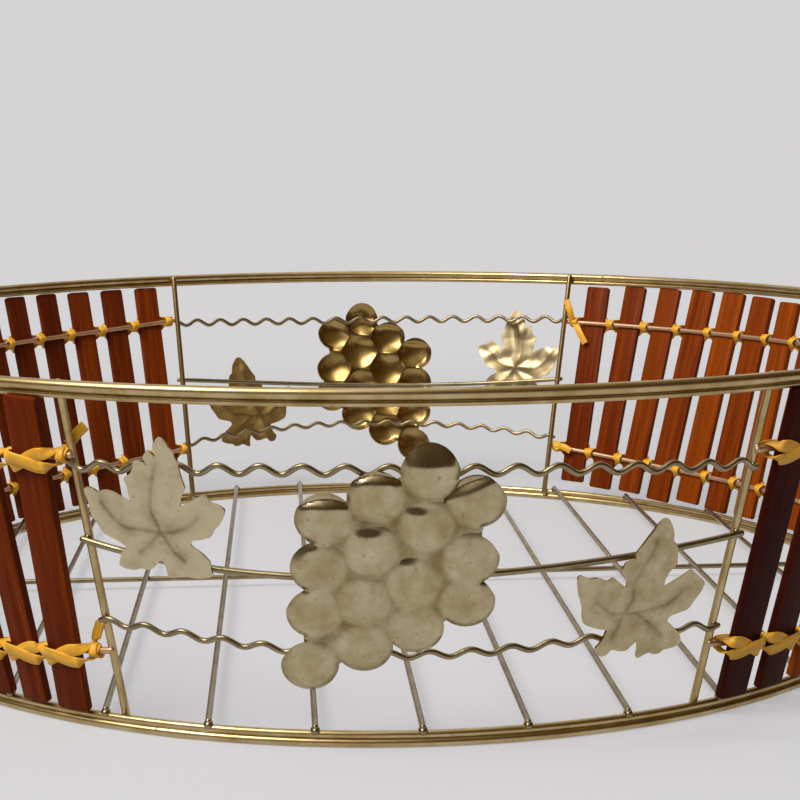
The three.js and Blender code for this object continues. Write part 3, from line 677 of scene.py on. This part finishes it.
def add_panel_wires(panel):
    name = panel["name"]
    for side, label in enumerate(("left", "right")):
        foot_degrees = upright_degrees(panel, side, FLOOR_Z)
        head_degrees = upright_degrees(panel, side, RIM_Z)
        foot = wall_points(foot_degrees, FLOOR_Z - UPRIGHT_FOOT_BELOW, UPRIGHT_OUT + UPRIGHT_FOOT_OUT)
        head = wall_points(head_degrees, RIM_Z + UPRIGHT_HEAD_ABOVE, UPRIGHT_OUT)
        shapes = [wire_run(np.linspace(foot, head, 7), UPRIGHT_WIRE)]
        shapes.append(weld(head_degrees, RIM_Z, UPRIGHT_OUT + UPRIGHT_WIRE / 2))
        shapes.append(weld(foot_degrees, FLOOR_Z, UPRIGHT_OUT + UPRIGHT_WIRE / 2))
        add_wire_piece(f"{name}_upright_{label}", shapes, BRIGHT_BRASS)
    for level, label, out, wire in (
        ("upper", "upper_crimped_wire", CRIMPED_OUT, CRIMPED_WIRE),
        ("middle", "middle_wire", STRAIGHT_OUT, STRAIGHT_WIRE),
        ("lower", "lower_crimped_wire", CRIMPED_OUT, CRIMPED_WIRE),
    ):
        add_wire_piece(f"{name}_{label}", panel_wire(panel, level, out, wire), DULL_BRASS)


for panel in PANELS:
    add_panel_wires(panel)


# Stampings: a triangulated outline whose points are lifted by a height, then given the sheet's thickness.


def segment_distance(points, starts, ends):
    """Least distance from each point to any of the segments."""
    least = np.full(len(points), np.inf)
    for start, end in zip(starts, ends):
        run = end - start
        share = np.clip(((points - start) @ run) / run.dot(run), 0, 1)
        least = np.minimum(least, np.linalg.norm(points - start - share[:, None] * run, axis=1))
    return least


def inside(points, outline):
    """Which points lie within a closed outline."""
    odd = np.zeros(len(points), dtype=bool)
    for start, end in zip(outline, np.roll(outline, -1, axis=0)):
        if start[1] == end[1]:
            continue
        crosses = (points[:, 1] < start[1]) != (points[:, 1] < end[1])
        reach = start[0] + (points[:, 1] - start[1]) * (end[0] - start[0]) / (end[1] - start[1])
        odd ^= crosses & (points[:, 0] < reach)
    return odd


def evenly_spaced(outline, spacing):
    """The same closed outline with evenly spaced points."""
    closed = np.concatenate([outline, outline[:1]])
    lengths = np.concatenate([[0], np.cumsum(np.linalg.norm(np.diff(closed, axis=0), axis=1))])
    count = max(8, round(lengths[-1] / spacing))
    places = np.linspace(0, lengths[-1], count, endpoint=False)
    return np.stack([np.interp(places, lengths, closed[:, k]) for k in (0, 1)], axis=-1)


def triangulated(points, edges):
    result = delaunay_2d_cdt([tuple(p) for p in points], edges, [], 1, 1e-6)
    return np.array([tuple(v) for v in result[0]]), [list(face) for face in result[2]]


def loop_edges(count, first=0):
    return [(first + k, first + (k + 1) % count) for k in range(count)]


def border(faces):
    """The points round the outside of a patch of faces, in order."""
    sides = {(a, b) for face in faces for a, b in zip(face, face[1:] + face[:1])}
    following = {a: b for a, b in sides if (b, a) not in sides}
    loop = [next(iter(following))]
    while following[loop[-1]] != loop[0]:
        loop.append(following[loop[-1]])
    return loop


def stamped_sheet(outline, form):
    """A sheet in the outline, and how dark each point is made by tarnishing and painted shade.

    form(points, distance to the edge) gives the points' lift and that darkening."""
    edge = evenly_spaced(outline, SHEET_SPACING)
    low = edge.min(axis=0)
    high = edge.max(axis=0)
    rows = np.arange(low[1], high[1], SHEET_SPACING * math.sqrt(3) / 2)
    grid = []
    for number, y in enumerate(rows):
        xs = np.arange(low[0] + (number % 2) * SHEET_SPACING / 2, high[0], SHEET_SPACING)
        grid.append(np.stack([xs, np.full(len(xs), y)], axis=-1))
    grid = np.concatenate(grid)
    after = np.roll(edge, -1, axis=0)
    grid = grid[inside(grid, edge)]
    grid = grid[segment_distance(grid, edge, after) > SHEET_SPACING * 0.6]
    flat, faces = triangulated(np.concatenate([edge, grid]), loop_edges(len(edge)))
    lift, shade_and_tarnish = form(flat, segment_distance(flat, edge, after))
    under = np.column_stack([flat, lift])
    corners = under[np.array(faces)]
    face_normals = np.cross(corners[:, 1] - corners[:, 0], corners[:, 2] - corners[:, 0])
    normals = np.zeros_like(under)
    for k in range(3):
        np.add.at(normals, np.array(faces)[:, k], face_normals)
    over = under + unit(normals) * SHEET
    count = len(under)
    rim = border(faces)
    sides = [[a, b, b + count, a + count] for a, b in zip(rim, rim[1:] + rim[:1])]
    top = [[k + count for k in face] for face in faces]
    shape = np.concatenate([under, over]), top + [face[::-1] for face in faces] + sides
    return shape, np.concatenate([shade_and_tarnish, shade_and_tarnish])


def smooth_step(low, high, values):
    share = np.clip((values - low) / (high - low), 0, 1)
    return share * share * (3 - 2 * share)


def dents(points, size, seed):
    """Soft unevenness, mostly between -1 and 1, with waves of about this size."""
    draw = np.random.default_rng(seed)
    total = np.zeros(len(points))
    waves = 9
    for _ in range(waves):
        direction = draw.uniform(0, 2 * np.pi)
        wave = 2 * np.pi / (size * draw.uniform(0.8, 1.8))
        across = points[:, 0] * math.cos(direction) + points[:, 1] * math.sin(direction)
        total += np.sin(across * wave + draw.uniform(0, 2 * np.pi))
    return total / math.sqrt(waves)


def cluster_outline(centres):
    """Round the outside of all grapes and of the web that joins each grape to its neighbours."""
    turns = np.linspace(0, 2 * np.pi, 72, endpoint=False)
    circle = GRAPE_RADIUS * np.stack([np.cos(turns), np.sin(turns)], axis=-1)
    loops = [centre + circle for centre in centres]
    for i, first in enumerate(centres):
        for second in centres[i + 1:]:
            run = second - first
            if np.linalg.norm(run) < GRAPE_NEIGHBOURS:
                side = np.array([-run[1], run[0]]) / np.linalg.norm(run) * GRAPE_RADIUS * WEB_HALF
                loops.append(np.array([first - side, second - side, second + side, first + side]))
    points = []
    edges = []
    for loop in loops:
        edges += loop_edges(len(loop), len(points))
        points += list(loop)
    flat, faces = triangulated(np.array(points), edges)
    return flat[border(faces)]


def cluster_shape(seed):
    """A pad with a rolled edge, on which shallow domes meet in creases, with a few dints."""
    centres = np.array(GRAPE_CENTRES)
    dent_size, dent_height = CLUSTER_DENTS

    def form(points, edge_distance):
        away = np.linalg.norm(points[:, None] - centres[None], axis=2)
        bulges = np.maximum(1 - (away / (DOME_SPREAD * GRAPE_RADIUS)) ** 2, 0)
        blended = np.sum(bulges ** DOME_BLEND, axis=1) ** (1 / DOME_BLEND)
        near = np.exp(-away ** 2 / 6)
        upper = smooth_step(0.5, 3.5, points[:, 1:] - centres[:, 1])
        upper[:, list(ROLLED_TOPS)] = 0
        flat = np.sum(near * upper, axis=1) / np.sum(near, axis=1)
        roll = 1 - (1 - flat) * (1 - np.clip(edge_distance / CLUSTER_ROLL, 0, 1)) ** 2
        lift = (CLUSTER_PAD + GRAPE_BULGE * blended + dent_height * dents(points, dent_size, seed)) * roll
        nearest = away.argmin(axis=1)
        for grape, (start, growth, slope) in GRAPE_CAPS.items():
            across, up = (points - centres[grape]).T
            above = np.maximum(up - start - growth * across, 0) * (nearest == grape)
            lift -= slope * np.where(above < 1, above ** 2 / 2, above - 0.5)
        sideways, deepest, end = DINT_REACH
        for x, y, depth in GRAPE_DINTS:
            across, up = (points - [x, y]).T
            window = (1 - np.minimum((across / sideways) ** 2, 1)) ** 2
            lift -= depth * window * smooth_step(0, deepest, up) * (1 - smooth_step(deepest, end, up))
        lowest = np.where(nearest == TOP_GRAPE, TOP_GRAPE_LOWEST, 0)
        # Painted shade with tarnishing: darker where the grapes' domes meet in creases.
        shade_and_tarnish = CREASE_SHADE_AND_TARNISH - CREASE_SHADE_AND_TARNISH * smooth_step(0.08, 0.5, blended)
        return np.maximum(lift, lowest), shade_and_tarnish

    return stamped_sheet(cluster_outline(centres), form)


def rounded_outline(corners):
    """Cuts each corner of an outline once."""
    corners = np.asarray(corners, dtype=float)
    after = np.roll(corners, -1, axis=0)
    near, far = CORNER_SHARES
    return np.stack([near * corners + far * after, far * corners + near * after], axis=1).reshape(-1, 2)


def leaf_shape(leaf, seed):
    """A softly crowned sheet with folded lobes and shallow grooves for its veins, which are darkened by
    tarnishing and painted shade.
    """
    grooves = [np.array(groove, dtype=float) for groove in leaf["grooves"]]
    starts = np.concatenate([groove[:-1] for groove in grooves])
    ends = np.concatenate([groove[1:] for groove in grooves])
    half_width, depth = LEAF_GROOVE
    crown_height, crown_reach = LEAF_CROWN
    fold_height, fold_reach = LEAF_FOLD
    dent_size, dent_height = LEAF_DENTS

    def form(points, edge_distance):
        crown = crown_height * smooth_step(0, crown_reach, edge_distance)
        veins = segment_distance(points, starts, ends)
        groove = depth * (1 - smooth_step(0, half_width, veins)) * smooth_step(0, 2, edge_distance)
        fold = fold_height * smooth_step(0, fold_reach, veins)
        lift = LEAF_STAND + crown + fold - groove + dent_height * dents(points, dent_size, seed)
        # The second value darkens the veins and their sides: tarnishing and painted shade.
        return lift, 1 - 0.6 * smooth_step(0.1, 0.9, veins) - 0.4 * smooth_step(0, 3, veins)

    return stamped_sheet(rounded_outline(leaf["outline"]), form)


INNER_GOLD_AND_WARM_REFLECTION = {"cluster": 0.8, "leaf_a": 0.25, "leaf_b": 0.8}  # share of gold on the inner side, partly its own plating and partly a painted warm reflection
PAINTED_PALE_REFLECTION = {"front_leaf_a": 0.2, "back_leaf_a": 0.2}  # how much paler the skin is painted, standing in for a bright reflection
SATIN = {"back_leaf_a": 0.13, "back_leaf_b": 0.22}  # how much rougher the skin is worn


def add_ornament(panel, label, stamping):
    (points, faces), shade_and_tarnish = stamping
    place = panel[label]
    degrees = panel["angle"] + math.degrees(place["along"] / wall_radius(place["height"]))
    turned = turned_flat(points, place["turn"])
    placed = turned @ wall_axes(degrees).T + wall_points(degrees, place["height"], ORNAMENT_OUT)
    node = f"{panel['name']}_{'grape_cluster' if label == 'cluster' else label}"
    piece = add_piece(f"{node}_stamping", (placed, faces), SHEET_BRASS, node, sharp=60)
    store(piece, "shade_and_tarnish", shade_and_tarnish)
    store(piece, "inner", np.repeat([INNER_GOLD_AND_WARM_REFLECTION[label], 0.0], len(shade_and_tarnish) // 2))
    store(piece, "pale_reflection", np.full(len(shade_and_tarnish), PAINTED_PALE_REFLECTION.get(node, 0.0)))
    store(piece, "satin", np.full(len(shade_and_tarnish), SATIN.get(node, 0.0)))


CLUSTER_SEED = 11
LEAF_SEEDS = {"leaf_a": 21, "leaf_b": 31}
for number, panel in enumerate(PANELS):
    add_ornament(panel, "cluster", cluster_shape(CLUSTER_SEED + number))
    for label, seed in LEAF_SEEDS.items():
        add_ornament(panel, label, leaf_shape(LEAVES[label], seed + number))


# Slats. A size or tone that a slat doesn't have of its own is drawn at random.
SLAT_FOOT_GAP = 0.3
SLAT_HEAD_GAP = 0.1
SLAT_BOTTOM = FLOOR_Z + FLOOR_HOOP_WIRE / 2 + SLAT_FOOT_GAP
SLAT_TOP = LOWER_RIM_Z - LOWER_RIM_WIRE / 2 - SLAT_HEAD_GAP
USUAL_DROPS = [0.1, 0.4, 0.8, 1.4]
RISE_SPREAD = 1.2
LEAN_SPREAD = 0.7  # degrees
WIDTH_SPREAD = 0.4
TONE_SPREAD = 0.06
GRAIN_STEP = (37.0, 211.0, 0)  # from one slat to the next, so that each shows another stretch of grain
slat_draw = np.random.default_rng(5)


def slat_outline(width, length, inset):
    """A slat's face with rounded corners, drawn in by the inset."""
    half = width / 2 - inset
    radius = SLAT_CORNER - inset
    turns = np.radians(np.linspace(0, 90, 6))
    corner = radius * np.stack([np.cos(turns), np.sin(turns)], axis=-1)
    points = []
    for quarter, (x, y) in enumerate([
        (half - radius, length - inset - radius),
        (radius - half, length - inset - radius),
        (radius - half, inset + radius),
        (half - radius, inset + radius),
    ]):
        turn = math.radians(90 * quarter)
        turned = corner @ np.array([[math.cos(turn), math.sin(turn)], [-math.sin(turn), math.cos(turn)]])
        points.append(turned + [x, y])
    return np.concatenate(points)


def slat_shape(width, length):
    rings = []
    halfway = SLAT_EASE * 0.3  # round an eased edge
    for inset, level in (
        (SLAT_EASE, 0),
        (halfway, halfway),
        (0, SLAT_EASE),
        (0, SLAT_THICKNESS - SLAT_EASE),
        (halfway, SLAT_THICKNESS - halfway),
        (SLAT_EASE, SLAT_THICKNESS),
    ):
        outline = slat_outline(width, length, inset)
        rings.append(np.column_stack([outline, np.full(len(outline), level)]))
    return np.concatenate(rings), skin_faces(len(rings), len(rings[0]), closed=False)


def slat_degrees(screen, number):
    return screen["first"] + (screen["last"] - screen["first"]) * number / (screen["slats"] - 1)


def slat_degrees_at(screen, number, height):
    """Where the middle line of a leaning slat is at this height."""
    aside = math.tan(math.radians(screen["leans"].get(number, 0))) * (height - (SLAT_BOTTOM + SLAT_TOP) / 2)
    return slat_degrees(screen, number) - math.degrees(aside / wall_radius(height))


def add_slats(screen):
    shapes = []
    places = []
    tones_and_shade = []
    for number in range(screen["slats"]):
        degrees = slat_degrees(screen, number)
        drop = screen["drops"].get(number, slat_draw.choice(USUAL_DROPS))
        rise = screen["rises"].get(number, slat_draw.uniform(0, RISE_SPREAD))
        lean = screen["leans"].get(number, slat_draw.uniform(-LEAN_SPREAD, LEAN_SPREAD))
        width = screen["widths"].get(number, SLAT_WIDTH + slat_draw.uniform(-WIDTH_SPREAD, WIDTH_SPREAD))
        tone = screen["tones_and_shade"].get(number, screen["tone"] + slat_draw.uniform(-TONE_SPREAD, TONE_SPREAD))
        length = (SLAT_TOP - drop - SLAT_BOTTOM - rise) / math.cos(LEAN)
        points, faces = slat_shape(width, length)
        middle = np.array([0, length / 2, 0])
        turned = turned_flat(points - middle, lean) + middle
        placed = turned @ wall_axes(degrees).T + wall_points(degrees, SLAT_BOTTOM + rise, SLAT_OUT)
        shapes.append((placed, faces))
        places.append(points + number * np.array(GRAIN_STEP))
        tones_and_shade.append(np.full(len(points), tone))
    node = f"{screen['name']}_slat_screen"
    piece = add_piece(f"{screen['name']}_slats", joined(shapes), SLAT_WOOD, node, sharp=35)
    store(piece, "slat_place", np.concatenate(places))
    store(piece, "slat_tone_and_shade", np.concatenate(tones_and_shade))


# Slat wires and their lacing
SLAT_WIRE_OVERHANG = 0.15  # degrees
LACE_SLACK = 0.15  # between the strip and its wire
LACE_LAYER_GAP = 0.05
LACE_FACE_GAP = 0.1
LACE_OVER_WIRE = STRAIGHT_WIRE / 2 + LACE_THICKNESS / 2 + LACE_SLACK
LACE_LAYER = LACE_THICKNESS + LACE_LAYER_GAP
LACE_FACE = STRAIGHT_WIRE / 2 - SLAT_SEAT + SLAT_THICKNESS + LACE_THICKNESS / 2 + LACE_FACE_GAP
LACE_EDGE_GAP = 0.25  # beside a slat
LACE_QUARTER = 0.4  # how far a quarter turn round the wire moves along it
STRAND_ASIDE = 0.55  # from the middle of a gap to where each strand winds
LACE_SUBSTEPS = 7
LACE_ROUNDING = 0.18
LACE_FOLD = 0.7  # the strip's share of its width where it folds round the wire
LACE_TAIL = 0.8  # and where it hangs loose
LACE_HITCH = 2.4  # from a slat's edge to the knot at the end of the winding
LACE_TUCK = 1.5  # from a slat's edge to where an end is tucked behind it
# How a strand crosses a slat's face: place in half widths from its middle, rise, drop below its level on
# the face, share of the other strand's layer that it climbs over, tilt and share of the strip's width
LACE_CROSSING = [
    (-1, -1.4, 0.1, 1, 0, 1),
    (-0.3, -0.2, 0, 1, 0, 0.95),
    (0.25, 1.0, 0, 0.5, 0, 1),
    (0.65, 1.6, 0, 0, 0, 1),
    (1, 1.7, 0.15, 0, 15, 0.9),
]
# Loose ends of the strands, upper one first, from the knot to the tip: millimetres along the winding, up
# the wall and outwards from the wire
LACE_TAILS = {
    ("right", "upper", "start"): (
        [(-1.4, 3.4, -3.4), (-3.6, 8.2, -3.6)],
        [(2.4, -3.6, -1.7), (5.6, -8.4, -1.4)],
    ),
    ("right", "lower", "start"): (
        [(2.6, 0.3, -1.9), (6.2, -0.8, -1.6)],
        [(1.0, -1.2, -1.9)],
    ),
    ("left", "upper", "end"): (
        [(1.2, 2.0, -2.6), (3.2, 4.0, -3.7), (5.4, 5.6, -3.9)],
        [(0.6, -1.2, -1.9)],
    ),
    ("left", "lower", "end"): (
        [(0.2, 2.6, -1.5), (1.8, 6.4, -2.2)],
        [(0.6, -1.2, -1.9)],
    ),
}


def smooth_path(controls, substeps):
    """A smooth curve through every control row."""
    padded = np.concatenate([controls[:1], controls, controls[-1:]])
    share = np.linspace(0, 1, substeps, endpoint=False)[:, None]
    runs = []
    for a, b, c, d in zip(padded, padded[1:], padded[2:], padded[3:]):
        runs.append(0.5 * (
            2 * b + (c - a) * share + (2 * a - 5 * b + 4 * c - d) * share ** 2
            + (3 * b - a - 3 * c + d) * share ** 3
        ))
    return np.concatenate(runs + [controls[-1:]])


def strip_shape(path, facing, widths):
    """A flat strip with rounded edges, and each point's place along and across it."""
    forwards = unit(np.gradient(path, axis=0))
    sideways = unit(np.cross(facing, forwards))
    normals = np.cross(forwards, sideways)
    half = LACE_WIDTH / 2
    flat = half - LACE_ROUNDING
    thick = LACE_THICKNESS / 2
    section = np.array([
        (-flat, -thick), (0, -thick), (flat, -thick), (half, -thick * 0.4), (half, thick * 0.4),
        (flat, thick), (0, thick * 1.15), (-flat, thick), (-half, thick * 0.4), (-half, -thick * 0.4),
    ])
    points = (
        path[:, None] + section[None, :, :1] * (widths[:, None] * sideways)[:, None]
        + section[None, :, 1:] * normals[:, None]
    )
    along = np.concatenate([[0], np.cumsum(np.linalg.norm(np.diff(path, axis=0), axis=1))])
    across = section[None, :, 0]
    through = section[None, :, 1]
    places = np.stack(np.broadcast_arrays(across, along[:, None], through), axis=-1)
    shape = points.reshape(-1, 3), skin_faces(len(path), len(section), closed=False)
    return shape, places.reshape(-1, 3)


def slat_wire_ends(screen, level):
    start, finish, _ = screen["wires"][level]
    (from_panel, from_side), (to_panel, to_side) = screen["uprights"]
    first = upright_degrees(PANELS[from_panel], from_side, start)
    last = upright_degrees(PANELS[to_panel], to_side, finish)
    return first, last if last > first else last + 360


def slat_wire_height(screen, level, degrees):
    start, finish, sag = screen["wires"][level]
    first, last = slat_wire_ends(screen, level)
    share = (degrees - first) / (last - first)
    return start + (finish - start) * share - sag * (1 - np.abs(2 * share - 1) ** 4)


def strand_rows(screen, level, sign):
    """Control rows of one strand: degrees, rise, reach outwards from the wire, tilt and share of width.

    On each slat's face the two strands cross near one edge and part towards the other, and in each gap they
    wind round the back of the wire side by side."""
    runs = screen["lacing_runs"]
    middle = slat_wire_height(screen, level, (screen["first"] + screen["last"]) / 2)
    degree = runs * math.degrees(1 / wall_radius(middle))
    edge = (SLAT_WIDTH / 2 + LACE_EDGE_GAP) * degree
    climb = LACE_LAYER if sign < 0 else 0
    over = LACE_OVER_WIRE + climb
    aside = -STRAND_ASIDE * sign * degree
    centres = [slat_degrees_at(screen, number, middle) for number in range(screen["slats"])][::runs]
    begin = centres[0] - edge - LACE_HITCH * degree
    end = centres[-1] + edge + LACE_HITCH * degree
    strand = 0 if sign > 0 else 1

    def round_wire(place, first_turn, turns):
        """Quarter turns round the wire: up at 90 degrees and inwards at 180 for the upper strand."""
        rows = []
        for turn in turns:
            angle = math.radians(turn)
            degrees = place + LACE_QUARTER * degree * (turn - 180) / 90
            rise = sign * over * math.sin(angle)
            reach = over * math.cos(angle)
            rows.append((degrees, rise, reach, sign * (first_turn + turn), LACE_FOLD))
        return rows

    rows = []
    for along, rise, reach in reversed(LACE_TAILS.get((screen["name"], level, "start"), ([], []))[strand]):
        rows.append((begin + along * degree, rise, reach, -sign * 180, LACE_TAIL))
    rows += round_wire(begin, 0, [-90, 0, 90, 180, 270])
    for number, centre in enumerate(centres):
        turn = 360 * (number + 1)
        for place, rise, drop, share, tilt, width in LACE_CROSSING:
            reach = LACE_FACE - drop + share * climb
            rows.append((centre + place * edge, sign * rise, reach, sign * (turn + tilt), width))
        if number < len(centres) - 1:
            rows += round_wire((centre + centres[number + 1]) / 2 + aside, turn, [90, 180, 270])
        elif screen["tucked"]:
            rows += round_wire(centre + edge + LACE_TUCK * degree, turn, [90, 180])
            rows.append((centre, 0, -over, sign * (turn + 180), LACE_FOLD))
        else:
            rows += round_wire(end, turn, [90, 180, 270, 360, 450])
    for along, rise, reach in LACE_TAILS.get((screen["name"], level, "end"), ([], []))[strand]:
        rows.append((end + along * degree, rise, reach, sign * (turn + 540), LACE_TAIL))
    return rows


def add_lacing(screen, level):
    shapes = []
    places = []
    for sign in (1, -1):
        controls = []
        for degrees, rise, reach, tilt, width in strand_rows(screen, level, sign):
            axes = wall_axes(degrees)
            wire = wall_points(degrees, slat_wire_height(screen, level, degrees), STRAIGHT_OUT)
            controls.append([*(wire + axes[:, 1] * rise + axes[:, 2] * reach), degrees, tilt, width])
        route = smooth_path(np.array(controls), LACE_SUBSTEPS)
        facing = []
        for degrees, tilt in route[:, 3:5]:
            axes = wall_axes(degrees)
            turn = math.radians(tilt)
            facing.append(axes[:, 2] * math.cos(turn) + axes[:, 1] * math.sin(turn))
        shape, place = strip_shape(route[:, :3], np.array(facing), route[:, 5])
        shapes.append(shape)
        places.append(place + [0, 0, 40 * sign])
    node = f"{screen['name']}_{level}_lacing"
    piece = add_piece(f"{node}_strip", joined(shapes), LACE, node, sharp=50)
    store(piece, "lace_place", np.concatenate(places))


def add_slat_wires(screen):
    for level in screen["wires"]:
        first, last = slat_wire_ends(screen, level)
        degrees = np.linspace(first - SLAT_WIRE_OVERHANG, last + SLAT_WIRE_OVERHANG, WIRE_STEPS + 1)
        heights = slat_wire_height(screen, level, degrees)
        shapes = [wire_run(wall_points(degrees, heights, STRAIGHT_OUT), STRAIGHT_WIRE)]
        for end, height in ((first, heights[0]), (last, heights[-1])):
            shapes.append(weld(end, height, UPRIGHT_OUT + UPRIGHT_WIRE / 2))
        name = f"{screen['name']}_{level}_slat_wire"
        add_piece(name, joined(shapes), SLAT_REFLECTING_BRASS)


for screen in SCREENS:
    add_slats(screen)
    add_slat_wires(screen)
    for level in screen["wires"]:
        add_lacing(screen, level)


# Floor, surround and light, with sizes and places in metres, and the camera
PALE = "#D5D3D4"
FLOOR_REACH = 6.0
FLOOR_FADE = (0.26, 0.7)  # from the middle, where the fade starts and where it ends
FLOOR_CLEAR = (0.6, 1.0)  # how clear the floor is at both


def add_stage(name, points, faces, material):
    item = mesh_object(name, points, faces, material)
    return item


def pale_floor():
    """Matt pale floor that fades into the background further out."""
    material, tree, shader = start_material("matt_pale_floor")
    set_inputs(tree, shader, Base_Color=linear("#CCCCCF"), Roughness=0.9, Specular_IOR_Level=0.1)
    place = add_node(tree, "ShaderNodeTexCoord").outputs["Object"]
    away = add_node(tree, "ShaderNodeVectorMath", {"operation": "LENGTH"}, i0=place)
    fade = add_node(
        tree, "ShaderNodeMapRange", {"interpolation_type": "SMOOTHSTEP"}, i0=away.outputs["Value"],
        i1=FLOOR_FADE[0], i2=FLOOR_FADE[1], i3=FLOOR_CLEAR[0], i4=FLOOR_CLEAR[1],
    )
    clear = add_node(tree, "ShaderNodeBsdfTransparent")
    mix = add_node(
        tree, "ShaderNodeMixShader", i0=fade.outputs[0], i1=shader.outputs[0], i2=clear.outputs[0],
    )
    tree.links.new(mix.outputs[0], tree.nodes["Material Output"].inputs["Surface"])
    return material


def dim_surround():
    """The dim room that polished metal shows above the table, lighter towards its ceiling."""
    material = bpy.data.materials.new("dim_surround")
    material.use_nodes = True
    tree = material.node_tree
    tree.nodes.clear()
    place = add_node(tree, "ShaderNodeTexCoord").outputs["Object"]
    parts = add_node(tree, "ShaderNodeSeparateXYZ", Vector=place)
    rise = add_node(tree, "ShaderNodeMapRange", i0=parts.outputs["Z"], i1=0.0, i2=1.5)
    colour = add_node(
        tree, "ShaderNodeValToRGB", stops=[(0.0, "#38240A"), (0.5, "#4A320C"), (1.0, "#786336")],
        Fac=rise.outputs[0],
    )
    glow = add_node(tree, "ShaderNodeEmission", Color=colour.outputs[0])
    output = add_node(tree, "ShaderNodeOutputMaterial")
    tree.links.new(glow.outputs[0], output.inputs["Surface"])
    return material


floor_corners = [(FLOOR_REACH * x, FLOOR_REACH * y, 0) for x, y in ((-1, -1), (1, -1), (1, 1), (-1, 1))]
add_stage("floor", floor_corners, [[0, 1, 2, 3]], pale_floor())

SURROUND_RADIUS = 1.7
SURROUND_ANGLES = np.radians(np.linspace(-215, 35, 41))
SURROUND_RISES = np.radians(np.linspace(1, 80, 14))
surround_points = [
    (
        SURROUND_RADIUS * math.cos(rise) * math.cos(angle),
        SURROUND_RADIUS * math.cos(rise) * math.sin(angle),
        SURROUND_RADIUS * math.sin(rise),
    )
    for rise in SURROUND_RISES
    for angle in SURROUND_ANGLES
]
columns = len(SURROUND_ANGLES)
surround_faces = [
    [row * columns + k, row * columns + k + 1, (row + 1) * columns + k + 1, (row + 1) * columns + k]
    for row in range(len(SURROUND_RISES) - 1)
    for k in range(columns - 1)
]
surround = add_stage("dim_surround", surround_points, surround_faces, dim_surround())
surround.visible_camera = False
surround.visible_diffuse = False
surround.visible_shadow = False
surround.visible_transmission = False


LIT_HEIGHT = 0.04  # where the lamps point, above the floor


def add_lamp(name, place, size, power, colour):
    light = bpy.data.lights.new(name, "AREA")
    light.shape = "SQUARE"
    light.size = size
    light.energy = power
    light.color = linear(colour)[:3]
    lamp = bpy.data.objects.new(name, light)
    lamp.location = place
    away = lamp.location.copy()
    away.z -= LIT_HEIGHT
    lamp.rotation_euler = away.to_track_quat("Z", "Y").to_euler()
    bpy.context.scene.collection.objects.link(lamp)


add_lamp("key_lamp", (-0.78, -0.64, 1.3), 0.9, 29.0, "#FFFCF8")
add_lamp("top_lamp", (0.1, -0.1, 1.6), 1.4, 2.0, "#FFFEFC")

world = bpy.data.worlds.new("studio")
world.use_nodes = True
bpy.context.scene.world = world
sky = world.node_tree
sky.nodes.clear()
path = add_node(sky, "ShaderNodeLightPath")
mirrored = add_node(
    sky, "ShaderNodeMath", {"operation": "MAXIMUM"}, i0=path.outputs["Is Camera Ray"],
    i1=path.outputs["Is Glossy Ray"],
)
seen = add_node(
    sky, "ShaderNodeMath", {"operation": "MAXIMUM"}, i0=mirrored.outputs[0],
    i1=path.outputs["Is Transmission Ray"],
)
ambient = add_node(sky, "ShaderNodeBackground", Color=linear("#FFFFFF"), Strength=0.25)
backdrop = add_node(sky, "ShaderNodeBackground", Color=linear(PALE), Strength=1.0)
mix = add_node(
    sky, "ShaderNodeMixShader", i0=seen.outputs[0], i1=ambient.outputs[0], i2=backdrop.outputs[0],
)
output = add_node(sky, "ShaderNodeOutputWorld")
sky.links.new(mix.outputs[0], output.inputs["Surface"])

camera_data = bpy.data.cameras.new("camera")
camera_data.lens = CAMERA_LENS
camera_data.sensor_width = 36.0
camera_data.clip_start = 0.01
camera = bpy.data.objects.new("camera", camera_data)
camera.location = [value * MM for value in CAMERA_PLACE]
camera.rotation_euler = [math.radians(value) for value in CAMERA_TURN]
bpy.context.scene.collection.objects.link(camera)
bpy.context.scene.camera = camera
bpy.context.scene.view_settings.view_transform = "Standard"
